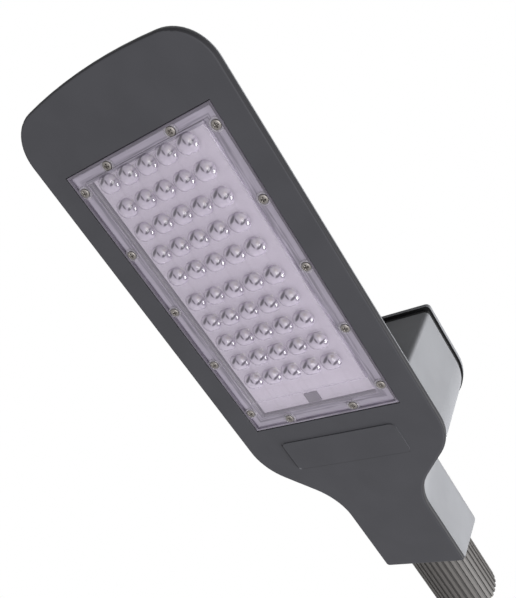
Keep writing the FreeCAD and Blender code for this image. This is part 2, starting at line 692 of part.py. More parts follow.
def make_driver_housing():
    """Box for the driver, whose walls follow the plate's shoulders, with the socket on its rear."""
    body = new_body("driver_housing")
    foot = S.rim_thickness
    half_neck = S.neck_width / 2 - S.box_inset
    bend_y = neck_y - S.box_inset * BEND
    corner = (S.shoulder_width / 2 - S.box_inset, shoulder_y - S.box_inset * BEND)
    start = shoulder_y - S.shoulder_radius
    sketch = new_sketch(body, "socket_outline", offset=foot)
    add_loop(sketch, mirrored([(side_x(start) - S.box_inset, start), corner, (half_neck, bend_y),
                               (half_neck, mouth_end)]))
    grow(body, sketch, "socket", S.socket_height - foot)
    cut_mouth(body, S.neck_width)
    round_edges(body, "shoulders", S.shoulder_radius - S.box_inset, upright_at(corner))
    round_edges(body, "neck_bends", S.neck_radius + S.box_inset, upright_at((half_neck, bend_y)))
    along = level_at(S.socket_height)
    round_edges(body, "socket_edges", S.socket_rounding,
                lambda edge: along(edge) and abs(edge.Vertexes[0].Y - edge.Vertexes[-1].Y) > 1e-3)

    sketch = new_sketch(body, "box_plan", offset=foot)
    add_loop(sketch, *box_outline(S.box_inset, box_front, box_rear, foot, S.box_corner_radius))
    grow(body, sketch, "box", S.box_height - foot, leaning=True)
    sketch = new_sketch(body, "room_plan", offset=floor_level)
    add_loop(sketch, *box_outline(room_inset, room_front, room_rear, floor_level))
    cut(body, sketch, "room", S.box_height, up=True, leaning=True)

    tray_half = half_tray + S.tray_clearance
    tray_rear = window_rear + S.tray_wall + S.tray_clearance
    sketch = new_sketch(body, "tray_notch_plan")
    add_loop(sketch, rectangle(tray_half, box_front - S.box_wall, tray_rear))
    cut(body, sketch, "tray_notch", tray_top, up=True)
    sketch = new_sketch(body, "under_floor_plan")
    post_rear = S.post_radius + S.tray_clearance - S.post_reach
    add_loop(sketch, *box_outline(room_inset, tray_rear - S.box_wall, post_rear))
    cut(body, sketch, "under_floor", tray_top, up=True)

    sketch = new_sketch(body, "boss_circles", offset=floor_level)
    add_circles(sketch, lid_screw_places(), S.boss_radius)
    grow(body, sketch, "bosses", lid_level - floor_level)
    sketch = new_sketch(body, "boss_hole_rounds", offset=lid_level)
    add_small_rounds(sketch, lid_screw_places(), S.lid_screw_radius + S.screw_clearance)
    cut(body, sketch, "boss_holes", S.lid_screw_length - S.lid_thickness + S.hole_runout)
    sketch = new_sketch(body, "bolt_boss_circles", offset=S.socket_height - S.bolt_boss_height)
    add_circles(sketch, bolt_places(), S.bolt_boss_radius)
    grow(body, sketch, "bolt_bosses", S.bolt_boss_height * 2)

    cut_bore(body, "tube_seat", bore_radius, S.mouth_lean, S.bore_depth + S.mouth_lean)
    cut_bore(body, "flange_seat", S.gland_flange_radius + S.bush_clearance, S.mouth_lean,
             gland_seat + S.mouth_lean, add_small_rounds)
    cut_bore(body, "cable_hole", S.cable_radius, S.mouth_lean, S.mouth_lean - room_rear, add_small_rounds)
    sketch = new_sketch(body, "bolt_hole_rounds", offset=S.socket_height * 2)
    add_small_rounds(sketch, bolt_places(), S.bolt_radius + S.bolt_clearance)
    cut(body, sketch, "bolt_holes", S.socket_height * 2 - S.axis_height)

    sketch = new_sketch(body, "seal_circle", offset=tray_top)
    add_small_rounds(sketch, [WIRE_PLACE], S.seal_outer_radius + S.bush_clearance)
    cut(body, sketch, "seal_seat", S.seal_thickness, up=True)
    through = S.box_floor * 1.5
    sketch = new_sketch(body, "wire_circle", offset=floor_level)
    add_small_rounds(sketch, [WIRE_PLACE], S.wire_radius)
    cut(body, sketch, "wire_hole", through)
    sketch = new_sketch(body, "floor_hole_rounds", offset=floor_level)
    add_small_rounds(sketch, box_screw_places(), S.box_screw_radius + S.screw_clearance)
    cut(body, sketch, "floor_holes", through)
    sketch = new_sketch(body, "driver_hole_rounds", offset=floor_level)
    add_small_rounds(sketch, driver_screw_places(), S.driver_screw_radius + S.screw_clearance)
    add_small_rounds(sketch, [EARTH_PLACE], S.earth_radius + S.screw_clearance)
    cut(body, sketch, "driver_holes", S.box_floor)
    return body


def make_lid():
    """Flat cast lid with a raised panel, drilled for its screws."""
    body = new_body("driver_lid")
    front = box_front - S.lid_front_overhang
    sketch = new_sketch(body, "lid_plan", offset=lid_level)
    add_loop(sketch, *box_outline(S.box_inset - S.lid_overhang, front, box_rear + S.lid_overhang, lid_level,
                                  S.box_corner_radius))
    grow(body, sketch, "lid", S.lid_thickness)
    bevel_edges(body, "lid_edge", S.lid_bevel, level_at(lid_top))
    sketch = new_sketch(body, "panel_plan", offset=lid_top)
    add_loop(sketch, *box_outline(S.box_inset + S.lid_panel_inset + S.boss_radius,
                                  front + S.lid_panel_inset * 2, box_rear - S.lid_panel_inset, lid_level))
    grow(body, sketch, "lid_panel", S.lid_panel_height)
    sketch = new_sketch(body, "lid_hole_rounds", offset=lid_level)
    add_small_rounds(sketch, lid_screw_places(), S.lid_screw_radius + S.screw_clearance)
    cut(body, sketch, "lid_holes", S.lid_thickness + S.lid_panel_height, up=True)
    return body


def make_lid_gasket():
    body = new_body("lid_gasket")
    inset = S.lid_gasket_inset
    sketch = new_sketch(body, "gasket_plan", offset=S.box_height)
    add_loop(sketch, *box_outline(S.box_inset + inset, box_front + inset, box_rear - inset, S.box_height,
                                  S.box_corner_radius - inset))
    add_loop(sketch, *box_outline(room_inset, room_front, room_rear, S.box_height))
    grow(body, sketch, "gasket", S.lid_gasket)
    return body


def make_lens_plate():
    """Clear moulding: sheet with a rim, a raised field and a dome over each chip."""
    body = new_body("lens_plate")
    half = S.window_width / 2 - S.lens_clearance
    front = window_front + S.lens_clearance
    rear = window_rear - S.lens_clearance
    sketch = new_sketch(body, "sheet_plan", offset=S.lens_recess)
    add_loop(sketch, rectangle(half, front, rear))
    grow(body, sketch, "sheet", S.lens_sheet)
    sketch = new_sketch(body, "rim_plan", offset=S.lens_recess)
    add_loop(sketch, rectangle(half, front, rear))
    rim = S.lens_rim_width
    add_loop(sketch, rectangle(half - rim, front + rim, rear - rim))
    grow(body, sketch, "rim", S.lens_rim_height, down=True)
    sketch = new_sketch(body, "field_plan", offset=S.lens_recess)
    add_loop(sketch, rectangle(S.lens_field_width / 2, first_row - S.lens_field_front,
                               last_row + S.lens_field_rear))
    grow(body, sketch, "field", S.lens_field_height, down=True)
    field_level = S.lens_recess - S.lens_field_height
    domes = []
    for bank, row in LED_BANKS:
        sketch = new_sketch(body, f"{bank}_dome_outline", offset=field_level)
        add_loop(sketch, polygon((first_column, row), S.dome_radius, int(S.dome_sides.value)))
        domes.append(grow(body, sketch, f"{bank}_dome", S.dome_height, down=True))
    repeat_over_leds(body, sketch, domes)
    bevel_edges(body, "dome_slopes", S.dome_bevel, level_at(field_level - S.dome_height))
    cut_lens_holes(body, S.lens_recess, S.lens_sheet)
    return body


def make_lens_gasket():
    """Sealing frame that runs between the board's pocket and the line of the lens screws."""
    body = new_body("lens_gasket")
    sketch = new_sketch(body, "gasket_plan", offset=lens_top)
    outer = S.lens_screw_inset + S.lens_screw_radius + S.screw_clearance + S.gasket_clearance
    add_loop(sketch, rectangle(S.window_width / 2 - outer, window_front + outer, window_rear - outer))
    inner = S.board_clearance + S.gasket_clearance
    add_loop(sketch, rectangle(S.board_width / 2 + inner, first_row - S.board_front - inner,
                               last_row + S.board_rear + inner))
    grow(body, sketch, "gasket", S.lens_gasket)
    return body


def board_sheet(name, level, thickness):
    """A sheet with the board's outline and the connector's cut-out."""
    body = new_body(name)
    sketch = new_sketch(body, "board_plan", offset=level)
    add_loop(sketch, rectangle(S.board_width / 2, first_row - S.board_front, last_row + S.board_rear))
    half_plug = S.plug_length / 2 + S.plug_clearance
    add_loop(sketch, rectangle(S.plug_width / 2 + S.plug_clearance, plug_y - half_plug, plug_y + half_plug,
                               S.plug_offset))
    grow(body, sketch, "board", thickness)
    return body


def make_led_chips():
    """One square chip under each lens: one chip, patterned over a bank and again over the other."""
    body = new_body("led_chips")
    half = S.chip_side / 2
    chips = []
    for bank, row in LED_BANKS:
        sketch = new_sketch(body, f"{bank}_chip_plan", offset=board_face)
        add_loop(sketch, rectangle(half, row - half, row + half, first_column))
        chips.append(grow(body, sketch, f"{bank}_chip", S.chip_height, down=True))
    repeat_over_leds(body, sketch, chips)
    return body


def make_block(name, outline, level, height):
    """A plain upright block on a level."""
    body = new_body(name)
    sketch = new_sketch(body, "plan", offset=level)
    add_loop(sketch, outline)
    grow(body, sketch, "block", height)
    return body


def make_screws(name, places, seat, head, shank):
    """Screws whose heads stand on one level; head and shank are pairs of radius and length."""
    body = new_body(name)
    for part, (radius, length), down in (("heads", head, False), ("shanks", shank, True)):
        sketch = new_sketch(body, f"{part}_outline", offset=seat)
        add_small_rounds(sketch, places, radius)
        grow(body, sketch, part, length, down=down)
    return body


def make_lens_screws():
    """Screws whose heads hang under the lens sheet: one at the start of each row, patterned along it."""
    body = new_body("lens_screws")
    for name, place, width, rows, span in lens_screw_grids():
        sketch = new_sketch(body, f"{name}_head_outline", offset=S.lens_recess)
        add_small_rounds(sketch, [place], S.lens_screw_head_radius)
        head = grow(body, sketch, f"{name}_head", S.lens_screw_head_height, down=True)
        sketch = new_sketch(body, f"{name}_shank_outline", offset=S.lens_recess)
        add_small_rounds(sketch, [place], S.lens_screw_radius)
        shank = grow(body, sketch, f"{name}_shank", S.lens_screw_length)
        repeat_grid(body, sketch, [head, shank], f"{name}_screws", PAIR, width, rows, span)
    return body


def make_bush(name, flange, stem, bore_radius, plane, centre, seat, turned=False):
    """Rubber bush: a flange on its seat, a stem through the wall and a hole for the wires.

    Flange and stem are pairs of radius and length; turned puts the stem on the normal's side.
    """
    body = new_body(name)
    for part, (radius, length), down in (("flange", flange, turned), ("stem", stem, not turned)):
        sketch = new_sketch(body, f"{part}_ring", plane, seat)
        add_small_rounds(sketch, [centre], radius)
        add_small_rounds(sketch, [centre], bore_radius)
        grow(body, sketch, part, length, down=down)
    return body


def make_seal():
    body = new_body("housing_gasket")
    sketch = new_sketch(body, "seal_ring", offset=tray_top)
    add_small_rounds(sketch, [WIRE_PLACE], S.seal_outer_radius)
    add_small_rounds(sketch, [WIRE_PLACE], S.seal_inner_radius)
    grow(body, sketch, "seal", S.seal_thickness)
    return body


def make_driver():
    """Potted driver: an extruded case with rounded long edges."""
    body = make_block("led_driver", rectangle(driver_half, driver_front, driver_rear), floor_level,
                      S.driver_height)
    top = floor_level + S.driver_height
    long_edge = level_at(top)
    round_edges(body, "long_edges", S.driver_rounding,
                lambda edge: long_edge(edge) and abs(edge.Vertexes[0].X - edge.Vertexes[-1].X) > 1e-3)
    return body


def make_brackets():
    """Angle feet at both ends of the driver."""
    body = new_body("driver_brackets")
    inner = driver_half
    bend = inner + S.bracket_thickness
    outer = inner + S.bracket_foot
    step = floor_level + S.bracket_thickness
    top = floor_level + S.bracket_height
    sketch = new_sketch(body, "angle_profile", "XZ_Plane", -driver_middle)
    right = [(inner, floor_level), (outer, floor_level), (outer, step), (bend, step), (bend, top), (inner, top)]
    add_loop(sketch, right)
    add_loop(sketch, [(-x, z) for x, z in reversed(right)])
    grow(body, sketch, "angles", S.bracket_length, both=True)
    sketch = new_sketch(body, "foot_hole_rounds", offset=step)
    add_small_rounds(sketch, driver_screw_places(), S.driver_screw_radius + S.screw_clearance)
    cut(body, sketch, "foot_holes", S.bracket_thickness)
    return body


def make_terminal_block():
    half = S.terminal_length / 2
    y = terminal_places()[0][1]
    body = make_block("terminal_block", rectangle(S.terminal_width / 2, y - half, y + half, -S.terminal_offset),
                      floor_level, S.terminal_height)
    sketch = new_sketch(body, "terminal_hole_rounds", offset=floor_level + S.terminal_height)
    add_small_rounds(sketch, terminal_places(), S.terminal_screw_radius + S.screw_clearance)
    cut(body, sketch, "terminal_holes", S.terminal_screw_depth + S.terminal_screw_drop)
    return body


def make_terminal_screws():
    body = new_body("terminal_screws")
    top = floor_level + S.terminal_height - S.terminal_screw_drop
    sketch = new_sketch(body, "screw_circles", offset=top)
    add_small_rounds(sketch, terminal_places(), S.terminal_screw_radius)
    grow(body, sketch, "screws", S.terminal_screw_depth, down=True)
    return body


def make_earth_screw():
    body = new_body("earth_screw")
    sketch = new_sketch(body, "head_hexagon", offset=floor_level)
    add_loop(sketch, polygon(EARTH_PLACE, S.earth_head_radius, HEXAGON))
    grow(body, sketch, "head", S.earth_head_height)
    sketch = new_sketch(body, "shank_circle", offset=floor_level)
    add_small_rounds(sketch, [EARTH_PLACE], S.earth_radius)
    grow(body, sketch, "shank", S.earth_depth, down=True)
    return body


nut_seat = S.socket_height + S.bolt_boss_height
bolt_head_seat = nut_seat + S.nut_height + S.bolt_grip_gap


def make_clamp_bolts():
    """Hexagon bolts through the socket's top, whose tips press on the tube."""
    body = new_body("clamp_bolts")
    sketch = new_sketch(body, "head_hexagons", offset=bolt_head_seat)
    for place in bolt_places():
        add_loop(sketch, polygon(place, S.nut_radius, HEXAGON))
    grow(body, sketch, "heads", S.bolt_head_height)
    sketch = new_sketch(body, "shank_circles", offset=bolt_head_seat)
    add_small_rounds(sketch, bolt_places(), S.bolt_radius)
    grow(body, sketch, "shanks", bolt_head_seat - tube_top, down=True)
    return body


def make_clamp_nuts():
    body = new_body("clamp_nuts")
    sketch = new_sketch(body, "nut_hexagons", offset=nut_seat)
    for place in bolt_places():
        add_loop(sketch, polygon(place, S.nut_radius, HEXAGON))
    add_small_rounds(sketch, bolt_places(), S.bolt_radius + S.bolt_clearance)
    grow(body, sketch, "nuts", S.nut_height)
    return body


def make_arm_tube():
    """Tube with straight ribs all round, from the bottom of its seat to the square cut of its stub."""
    body = new_body("arm_tube")
    body.setExpression("Placement.Base.z", ZERO.text)
    length = S.bore_depth - S.tube_end_gap + S.tube_stub
    core = S.tube_radius - S.rib_height
    centre = [(ZERO, ZERO)]
    sketch = new_sketch(body, "tube_ring", "XZ_Plane", -S.tube_stub)
    add_circles(sketch, centre, core)
    add_circles(sketch, centre, S.tube_bore_radius)
    grow(body, sketch, "tube", length)
    sketch = new_sketch(body, "rib_profile", "XZ_Plane", -S.tube_stub)
    add_loop(sketch, rectangle(S.rib_width / 2, core - S.rib_height / 2, S.tube_radius))
    rib = grow(body, sketch, "rib", length)
    ribs = body.newObject("PartDesign::PolarPattern", "ribs")
    ribs.Originals = [rib]
    ribs.Axis = (sketch, ["N_Axis"])
    ribs.Angle = 360
    ribs.setExpression("Occurrences", S.rib_count.text)
    body.Tip = ribs
    doc.recompute()
    return body


def make_parts():
    plug_half = S.plug_length / 2
    return [
        make_body_plate(),
        make_driver_housing(),
        make_lid(),
        make_lid_gasket(),
        make_screws("lid_screws", lid_screw_places(), lid_top,
                    (S.lid_screw_head_radius, S.lid_screw_head_height),
                    (S.lid_screw_radius, S.lid_screw_length)),
        make_lens_plate(),
        make_lens_gasket(),
        make_lens_screws(),
        board_sheet("led_board", board_face, S.board_thickness),
        board_sheet("thermal_sheet", board_back, S.thermal_sheet),
        make_led_chips(),
        make_block("board_connector",
                   rectangle(S.plug_width / 2, plug_y - plug_half, plug_y + plug_half, S.plug_offset),
                   board_face - S.plug_stand, pocket_level - board_face + S.plug_stand),
        make_bush("wire_grommet", (S.bush_flange_radius, S.bush_flange_height),
                  (S.wire_radius - S.bush_clearance, S.box_floor + S.tray_roof), S.bush_bore_radius,
                  "XY_Plane", WIRE_PLACE, floor_level),
        make_seal(),
        make_screws("housing_screws", box_screw_places(), floor_level,
                    (S.box_screw_head_radius, S.box_screw_head_height),
                    (S.box_screw_radius, S.box_floor + S.box_screw_depth)),
        make_driver(),
        make_brackets(),
        make_screws("driver_screws", driver_screw_places(), floor_level + S.bracket_thickness,
                    (S.driver_screw_head_radius, S.driver_screw_head_height),
                    (S.driver_screw_radius, S.bracket_thickness + S.driver_screw_depth)),
        make_terminal_block(),
        make_terminal_screws(),
        make_bush("cable_grommet", (S.gland_flange_radius, S.gland_flange),
                  (S.cable_radius - S.bush_clearance, cable_wall - S.gland_short),
                  S.gland_bore_radius, "XZ_Plane", (ZERO, S.axis_height), gland_seat, turned=True),
        make_earth_screw(),
        make_clamp_bolts(),
        make_clamp_nuts(),
        make_arm_tube(),
    ]


def write_parts(bodies):
    """Refuse a failed feature or a bad solid, then write each piece to its own file."""
    doc.recompute()
    for item in doc.Objects:
        if {"Invalid", "Error"} & set(item.State):
            raise RuntimeError(f"{item.Label} failed: {item.State}")
    for body in bodies:
        if body.Shape.isNull() or not body.Shape.isValid() or not body.Shape.Solids:
            raise RuntimeError(f"{body.Label} has no valid solid")
    os.makedirs("parts", exist_ok=True)
    for body in bodies:
        body.Shape.exportStep(os.path.join("parts", f"{body.Label}.step"))
        print(f"{body.Label}: {len(body.Shape.Solids)} solids, {body.Shape.Volume / 1000:.2f} cm3")


write_parts(make_parts())
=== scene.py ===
"""Street light head: finishes, clear lens moulding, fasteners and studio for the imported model."""
import math

import bmesh
import bpy
import numpy as np
from bpy.props import FloatProperty, FloatVectorProperty, IntProperty, PointerProperty
from bpy.types import Operator, Panel, PropertyGroup
from mathutils import Matrix, Vector


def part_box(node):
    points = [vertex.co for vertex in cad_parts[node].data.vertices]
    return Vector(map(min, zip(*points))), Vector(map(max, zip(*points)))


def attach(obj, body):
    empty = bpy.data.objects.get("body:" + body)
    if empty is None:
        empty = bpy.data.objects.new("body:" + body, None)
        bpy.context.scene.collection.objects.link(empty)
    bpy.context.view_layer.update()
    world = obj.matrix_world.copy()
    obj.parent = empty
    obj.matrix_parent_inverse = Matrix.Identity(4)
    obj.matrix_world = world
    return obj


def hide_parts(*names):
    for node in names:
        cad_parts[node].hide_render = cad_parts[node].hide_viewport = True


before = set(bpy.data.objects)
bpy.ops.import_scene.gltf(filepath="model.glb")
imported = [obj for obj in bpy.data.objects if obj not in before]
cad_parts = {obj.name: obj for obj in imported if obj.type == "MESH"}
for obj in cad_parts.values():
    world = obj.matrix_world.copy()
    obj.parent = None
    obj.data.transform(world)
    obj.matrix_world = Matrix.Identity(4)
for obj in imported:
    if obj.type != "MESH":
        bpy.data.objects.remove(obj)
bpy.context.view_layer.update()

bl_info = {
    "name": "Street Light Head",
    "version": (1, 0, 0),
    "blender": (4, 5, 0),
    "location": "3D View > Sidebar > Street Light",
    "description": "Finishes, lens moulding, fasteners and studio for a street light head",
    "category": "Object",
}

MM = 0.001
BOLT_HEAD = 5.3 * MM
LENS_SCREW_HEAD = 1.9 * MM
WHITE = (1.0, 1.0, 1.0, 1.0)
# Rays that find the surroundings white
SEEN = ("Is Camera Ray", "Is Glossy Ray", "Is Transmission Ray")
LAMPS = (
    ("Key lamp", (1.9, 1.4, -0.3), 1.2, 84.0),
    ("Fill lamp", (0.9, -0.5, -1.95), 1.4, 29.0),
    ("Top lamp", (-0.9, 0.9, 2.0), 1.4, 42.0),
)


def opaque(colour, shade=1.0):
    """The colour, darkened or lightened by the shade, with full alpha."""
    return tuple(min(1.0, channel * shade) for channel in colour) + (1.0,)


def distance(a, b):
    """Length of the plane vector (a, b), for shader fields."""
    return (a * a + b * b) ** 0.5


class Field:
    """A shader socket in arithmetic: every operator adds one Math node."""

    def __init__(self, finish, socket):
        self.finish = finish
        self.socket = socket

    def math(self, operation, *values):
        inputs = dict(enumerate(values))
        return self.finish.field("ShaderNodeMath", {"operation": operation}, inputs)

    def __add__(self, other):
        return self.math("ADD", self, other)

    def __radd__(self, other):
        return self.math("ADD", other, self)

    def __sub__(self, other):
        return self.math("SUBTRACT", self, other)

    def __rsub__(self, other):
        return self.math("SUBTRACT", other, self)

    def __mul__(self, other):
        return self.math("MULTIPLY", self, other)

    def __rmul__(self, other):
        return self.math("MULTIPLY", other, self)

    def __truediv__(self, other):
        return self.math("DIVIDE", self, other)

    def __rtruediv__(self, other):
        return self.math("DIVIDE", other, self)

    def __pow__(self, other):
        return self.math("POWER", self, other)

    def __abs__(self):
        return self.math("ABSOLUTE", self)

    def lower(self, other):
        return self.math("MINIMUM", self, other)

    def higher(self, other):
        return self.math("MAXIMUM", self, other)

    def above(self, other):
        """1 where this is the greater, else 0."""
        return self.math("GREATER_THAN", self, other)

    def nearest(self):
        """The nearest whole number."""
        return self.math("ROUND", self)

    def rise(self, start, end):
        """Smooth step from 0 at start to 1 at end."""
        settings = {"interpolation_type": "SMOOTHSTEP"}
        return self.finish.field("ShaderNodeMapRange", settings, {0: self, 1: start, 2: end})

    def near(self, start, end):
        """1 within start of zero on both sides, falling to 0 at end."""
        return 1.0 - abs(self).rise(start, end)


class Finish:
    """A procedural material built from nodes around one Principled shader."""

    def __init__(self, name):
        self.material = bpy.data.materials.new(name)
        self.material.use_nodes = True
        self.tree = self.material.node_tree
        self.tree.nodes.clear()
        self.place = self.field("ShaderNodeTexCoord", output="Object")
        parts = self.node("ShaderNodeSeparateXYZ", inputs={0: self.place}).outputs
        self.x, self.y, self.z = (Field(self, socket) for socket in parts)

    def node(self, kind, settings=None, inputs=None):
        """Adds a node, sets its settings first, then its sockets' values or links."""
        node = self.tree.nodes.new(kind)
        for key, value in (settings or {}).items():
            setattr(node, key, value)
        for key, value in (inputs or {}).items():
            if isinstance(value, Field):
                self.tree.links.new(value.socket, node.inputs[key])
            else:
                node.inputs[key].default_value = value
        return node

    def field(self, kind, settings=None, inputs=None, output=0):
        return Field(self, self.node(kind, settings, inputs).outputs[output])

    def noise(self, size, detail=2.0):
        """Noise of about the given grain size in metres, from 0 to 1."""
        inputs = {"Vector": self.place, "Scale": 1.0 / size, "Detail": detail}
        return self.field("ShaderNodeTexNoise", None, inputs)

    def blend(self, first, second, factor):
        """Colour that passes from first to second with the factor."""
        return self.field("ShaderNodeMix", {"data_type": "RGBA"}, {0: factor, 6: first, 7: second}, 2)

    def shades(self, colour, spread, size):
        """The colour, a little darker and lighter in patches of the given size."""
        dark, light = opaque(colour, 1.0 - spread), opaque(colour, 1.0 + spread)
        return self.blend(dark, light, self.noise(size).rise(0.3, 0.7))

    def bump(self, height, distance, edge=0.0):
        """Normal with fine relief, over edges rounded by the given radius."""
        inputs = {"Height": height, "Distance": distance, "Strength": 1.0}
        if edge:
            inputs["Normal"] = self.field("ShaderNodeBevel", {"samples": 6}, {"Radius": edge})
        return self.field("ShaderNodeBump", None, inputs)

    def close(self, sockets):
        """Ends the material with a Principled shader with these sockets and returns it."""
        shader = self.field("ShaderNodeBsdfPrincipled", None, sockets)
        self.node("ShaderNodeOutputMaterial", inputs={"Surface": shader})
        return self.material


def box_paint(colours):
    """Semi-gloss powder coat of the driver box, with painted shadow: black on wall and lid beside the seal,
    under the lid's overhang.
    """
    finish = Finish("Light paint")
    low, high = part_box("lid_gasket")
    # Painted shadow: black bands on the wall below the seal and on the lid above it, for the shade under the
    # lid's overhang.
    lid_shadow = finish.z.rise(low.z - 1.1 * MM, low.z - 0.9 * MM)
    lid_shadow = lid_shadow * (1.0 - finish.z.rise(high.z + 0.2 * MM, high.z + 0.5 * MM))
    coat = finish.shades(colours.light_paint, 0.04, 30.0 * MM)
    return finish.close({
        "Base Color": finish.blend(coat, opaque(colours.rubber), lid_shadow),
        "Roughness": 0.5 + 0.12 * finish.noise(20.0 * MM),
        "Normal": finish.bump(finish.noise(0.5 * MM), 0.01 * MM, 0.8 * MM),
        "Specular IOR Level": 0.12,
        "IOR": 1.45,
    })


def past_box(finish, low, high):
    """How far a place lies across or along past a box that is centred across; negative inside it."""
    return (abs(finish.x) - high.x).higher((finish.y - high.y).higher(low.y - finish.y))


def panel_marks(finish, face):
    """Painted shade: dark lines along the raised panel's side and rear foot; and a pale spot at the corner
    between them.
    """
    along = finish.y.rise(face.panel_front, face.panel_front + 2.0 * MM)
    along = along * (1.0 - finish.y.rise(face.panel_rear - 2.0 * MM, face.panel_rear))
    # Painted shade along the panel's side wall, and fainter along its rear foot.
    side_shade = (finish.x + face.panel_half).near(0.2 * MM, 0.9 * MM) * along
    foot = (finish.y - face.panel_rear).near(0.2 * MM, 0.8 * MM)
    foot = foot * finish.x.near(face.panel_half - 2.0 * MM, face.panel_half) * 0.35
    corner = distance(finish.x + face.panel_half - 1.2 * MM, finish.y - face.panel_rear + 0.6 * MM)
    return side_shade.higher(foot), 1.0 - corner.rise(0.5 * MM, 1.5 * MM)


def plate_levels(finish, face):
    """The plate's outer edge, and all of it that lies above that edge or above the board's pocket."""
    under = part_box("body_plate")[0].z + face.panel_rise
    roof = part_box("thermal_sheet")[1].z
    outside = past_box(finish, *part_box("lens_plate")).rise(1.0 * MM, 1.4 * MM)
    # Mask of the painted shade along the plate's outer edge.
    wall = finish.z.rise(under + 0.05 * MM, under + 0.3 * MM) * outside
    upper = finish.z.rise(under + 3.0 * MM, under + 3.4 * MM) * outside
    return wall, upper.higher(finish.z.rise(roof + 0.3 * MM, roof + 0.8 * MM))


def face_paint(colours, face):
    """Matt powder coat of the face plate in painted shade: dark face, darker painted-shade edge, pale upper
    side, painted shade and a pale spot at the panel.
    """
    finish = Finish("Shaded face paint")
    lines, pale_spot = panel_marks(finish, face)
    wall, upper = plate_levels(finish, face)
    # Painted shade: the face is coloured as the grey paint looks in shade.
    coat = finish.shades(colours.dark_paint, 0.04, 30.0 * MM)
    coat = finish.blend(coat, opaque(colours.rubber), lines)
    # A pale spot of the light paint at the panel's corner.
    coat = finish.blend(coat, opaque(colours.light_paint), 0.7 * pale_spot)
    # Painted shade: the plate's outer edge, darker still.
    coat = finish.blend(coat, opaque(colours.dark_paint, 0.4), wall)
    coat = finish.blend(coat, opaque(colours.light_paint), upper)
    return finish.close({
        "Base Color": coat,
        "Roughness": 0.5 + 0.12 * finish.noise(20.0 * MM),
        "Normal": finish.bump(finish.noise(0.5 * MM), 0.02 * MM, 0.3 * MM),
        "Specular IOR Level": 0.2,
        "IOR": 1.45,
    })


def soft(name, colour, roughness):
    """Rubber and plastic: matt, with a fine moulded grain."""
    finish = Finish(name)
    return finish.close({
        "Base Color": finish.shades(colour, 0.12, 4.0 * MM),
        "Roughness": roughness + 0.1 * finish.noise(2.0 * MM),
        "Normal": finish.bump(finish.noise(0.6 * MM), 0.02 * MM),
        "IOR": 1.45,
    })


def metal(name, colour, roughness):
    """Bare or plated metal with faint handling marks."""
    finish = Finish(name)
    return finish.close({
        "Base Color": finish.shades(colour, 0.1, 3.0 * MM),
        "Metallic": 1.0,
        "Roughness": roughness + 0.15 * finish.noise(1.5 * MM),
        "Normal": finish.bump(finish.noise(0.4 * MM), 0.01 * MM),
    })


def tube_metal(colour):
    """Drawn aluminium: streaks along the tube and a darker colour in the grooves."""
    finish = Finish("Tube metal")
    stretch = finish.field("ShaderNodeVectorMath", {"operation": "MULTIPLY"},
                           {0: finish.place, 1: (1.0, 0.02, 1.0)})
    streak = finish.field("ShaderNodeTexNoise", None, {"Vector": stretch, "Scale": 1500.0})
    groove = 1.0 - distance(finish.x, finish.z).rise(23.5 * MM, 24.0 * MM)
    return finish.close({
        "Base Color": finish.blend(opaque(colour), opaque(colour, 0.45), groove),
        "Metallic": 0.15,
        "Roughness": 0.55 + 0.2 * streak,
        "Normal": finish.bump(streak, 0.01 * MM),
    })


def led_distance(finish, lens):
    """Places across and along from the nearest LED's centre, as shader fields in metres."""
    u = finish.x - (finish.x / lens.column_pitch).nearest() * lens.column_pitch
    rear = finish.y.above(lens.first_row + lens.bank_step - lens.row_pitch / 2.0)
    local = finish.y - lens.first_row - rear * lens.bank_step
    return u, local - (local / lens.row_pitch).nearest() * lens.row_pitch


def board_white(lens, colours):
    """White solder mask over faint copper lands round each LED."""
    finish = Finish("Board white")
    u, v = led_distance(finish, lens)
    land = (abs(u).higher(abs(v)) - 4.2 * MM).near(0.1 * MM, 0.3 * MM)
    copper = land.higher(u.near(0.7 * MM, 0.9 * MM) * 0.5)
    return finish.close({
        "Base Color": finish.blend(opaque(colours.board), opaque(colours.board, 0.86), copper),
        "Roughness": 0.45 + 0.1 * finish.noise(4.0 * MM),
        "Normal": finish.bump(copper, 0.04 * MM),
        "IOR": 1.5,
    })


def chip_yellow(lens, colours):
    """LED chips: a round phosphor pool in a white frame."""
    finish = Finish("Chip yellow")
    u, v = led_distance(finish, lens)
    pool = 1.0 - distance(u, v).rise(1.1 * MM, 1.3 * MM)
    frame_white = (0.75, 0.74, 0.7, 1.0)
    return finish.close({
        "Base Color": finish.blend(frame_white, opaque(colours.phosphor), pool),
        "Roughness": 0.35 + 0.2 * pool,
        "Normal": finish.bump(pool, 0.05 * MM),
        "IOR": 1.5,
    })


def soft_patch(u, v, centre, half_length, half_width, turn):
    """Soft ellipse in a lens cell: 1 inside, falling to 0 round its edge; sizes in mm."""
    c, s = math.cos(math.radians(turn)), math.sin(math.radians(turn))
    across, along = u - centre[0] * MM, v - centre[1] * MM
    a = (across * c + along * s) / (half_length * MM)
    b = (along * c - across * s) / (half_width * MM)
    return 1.0 - distance(a, b).rise(0.4, 1.3)


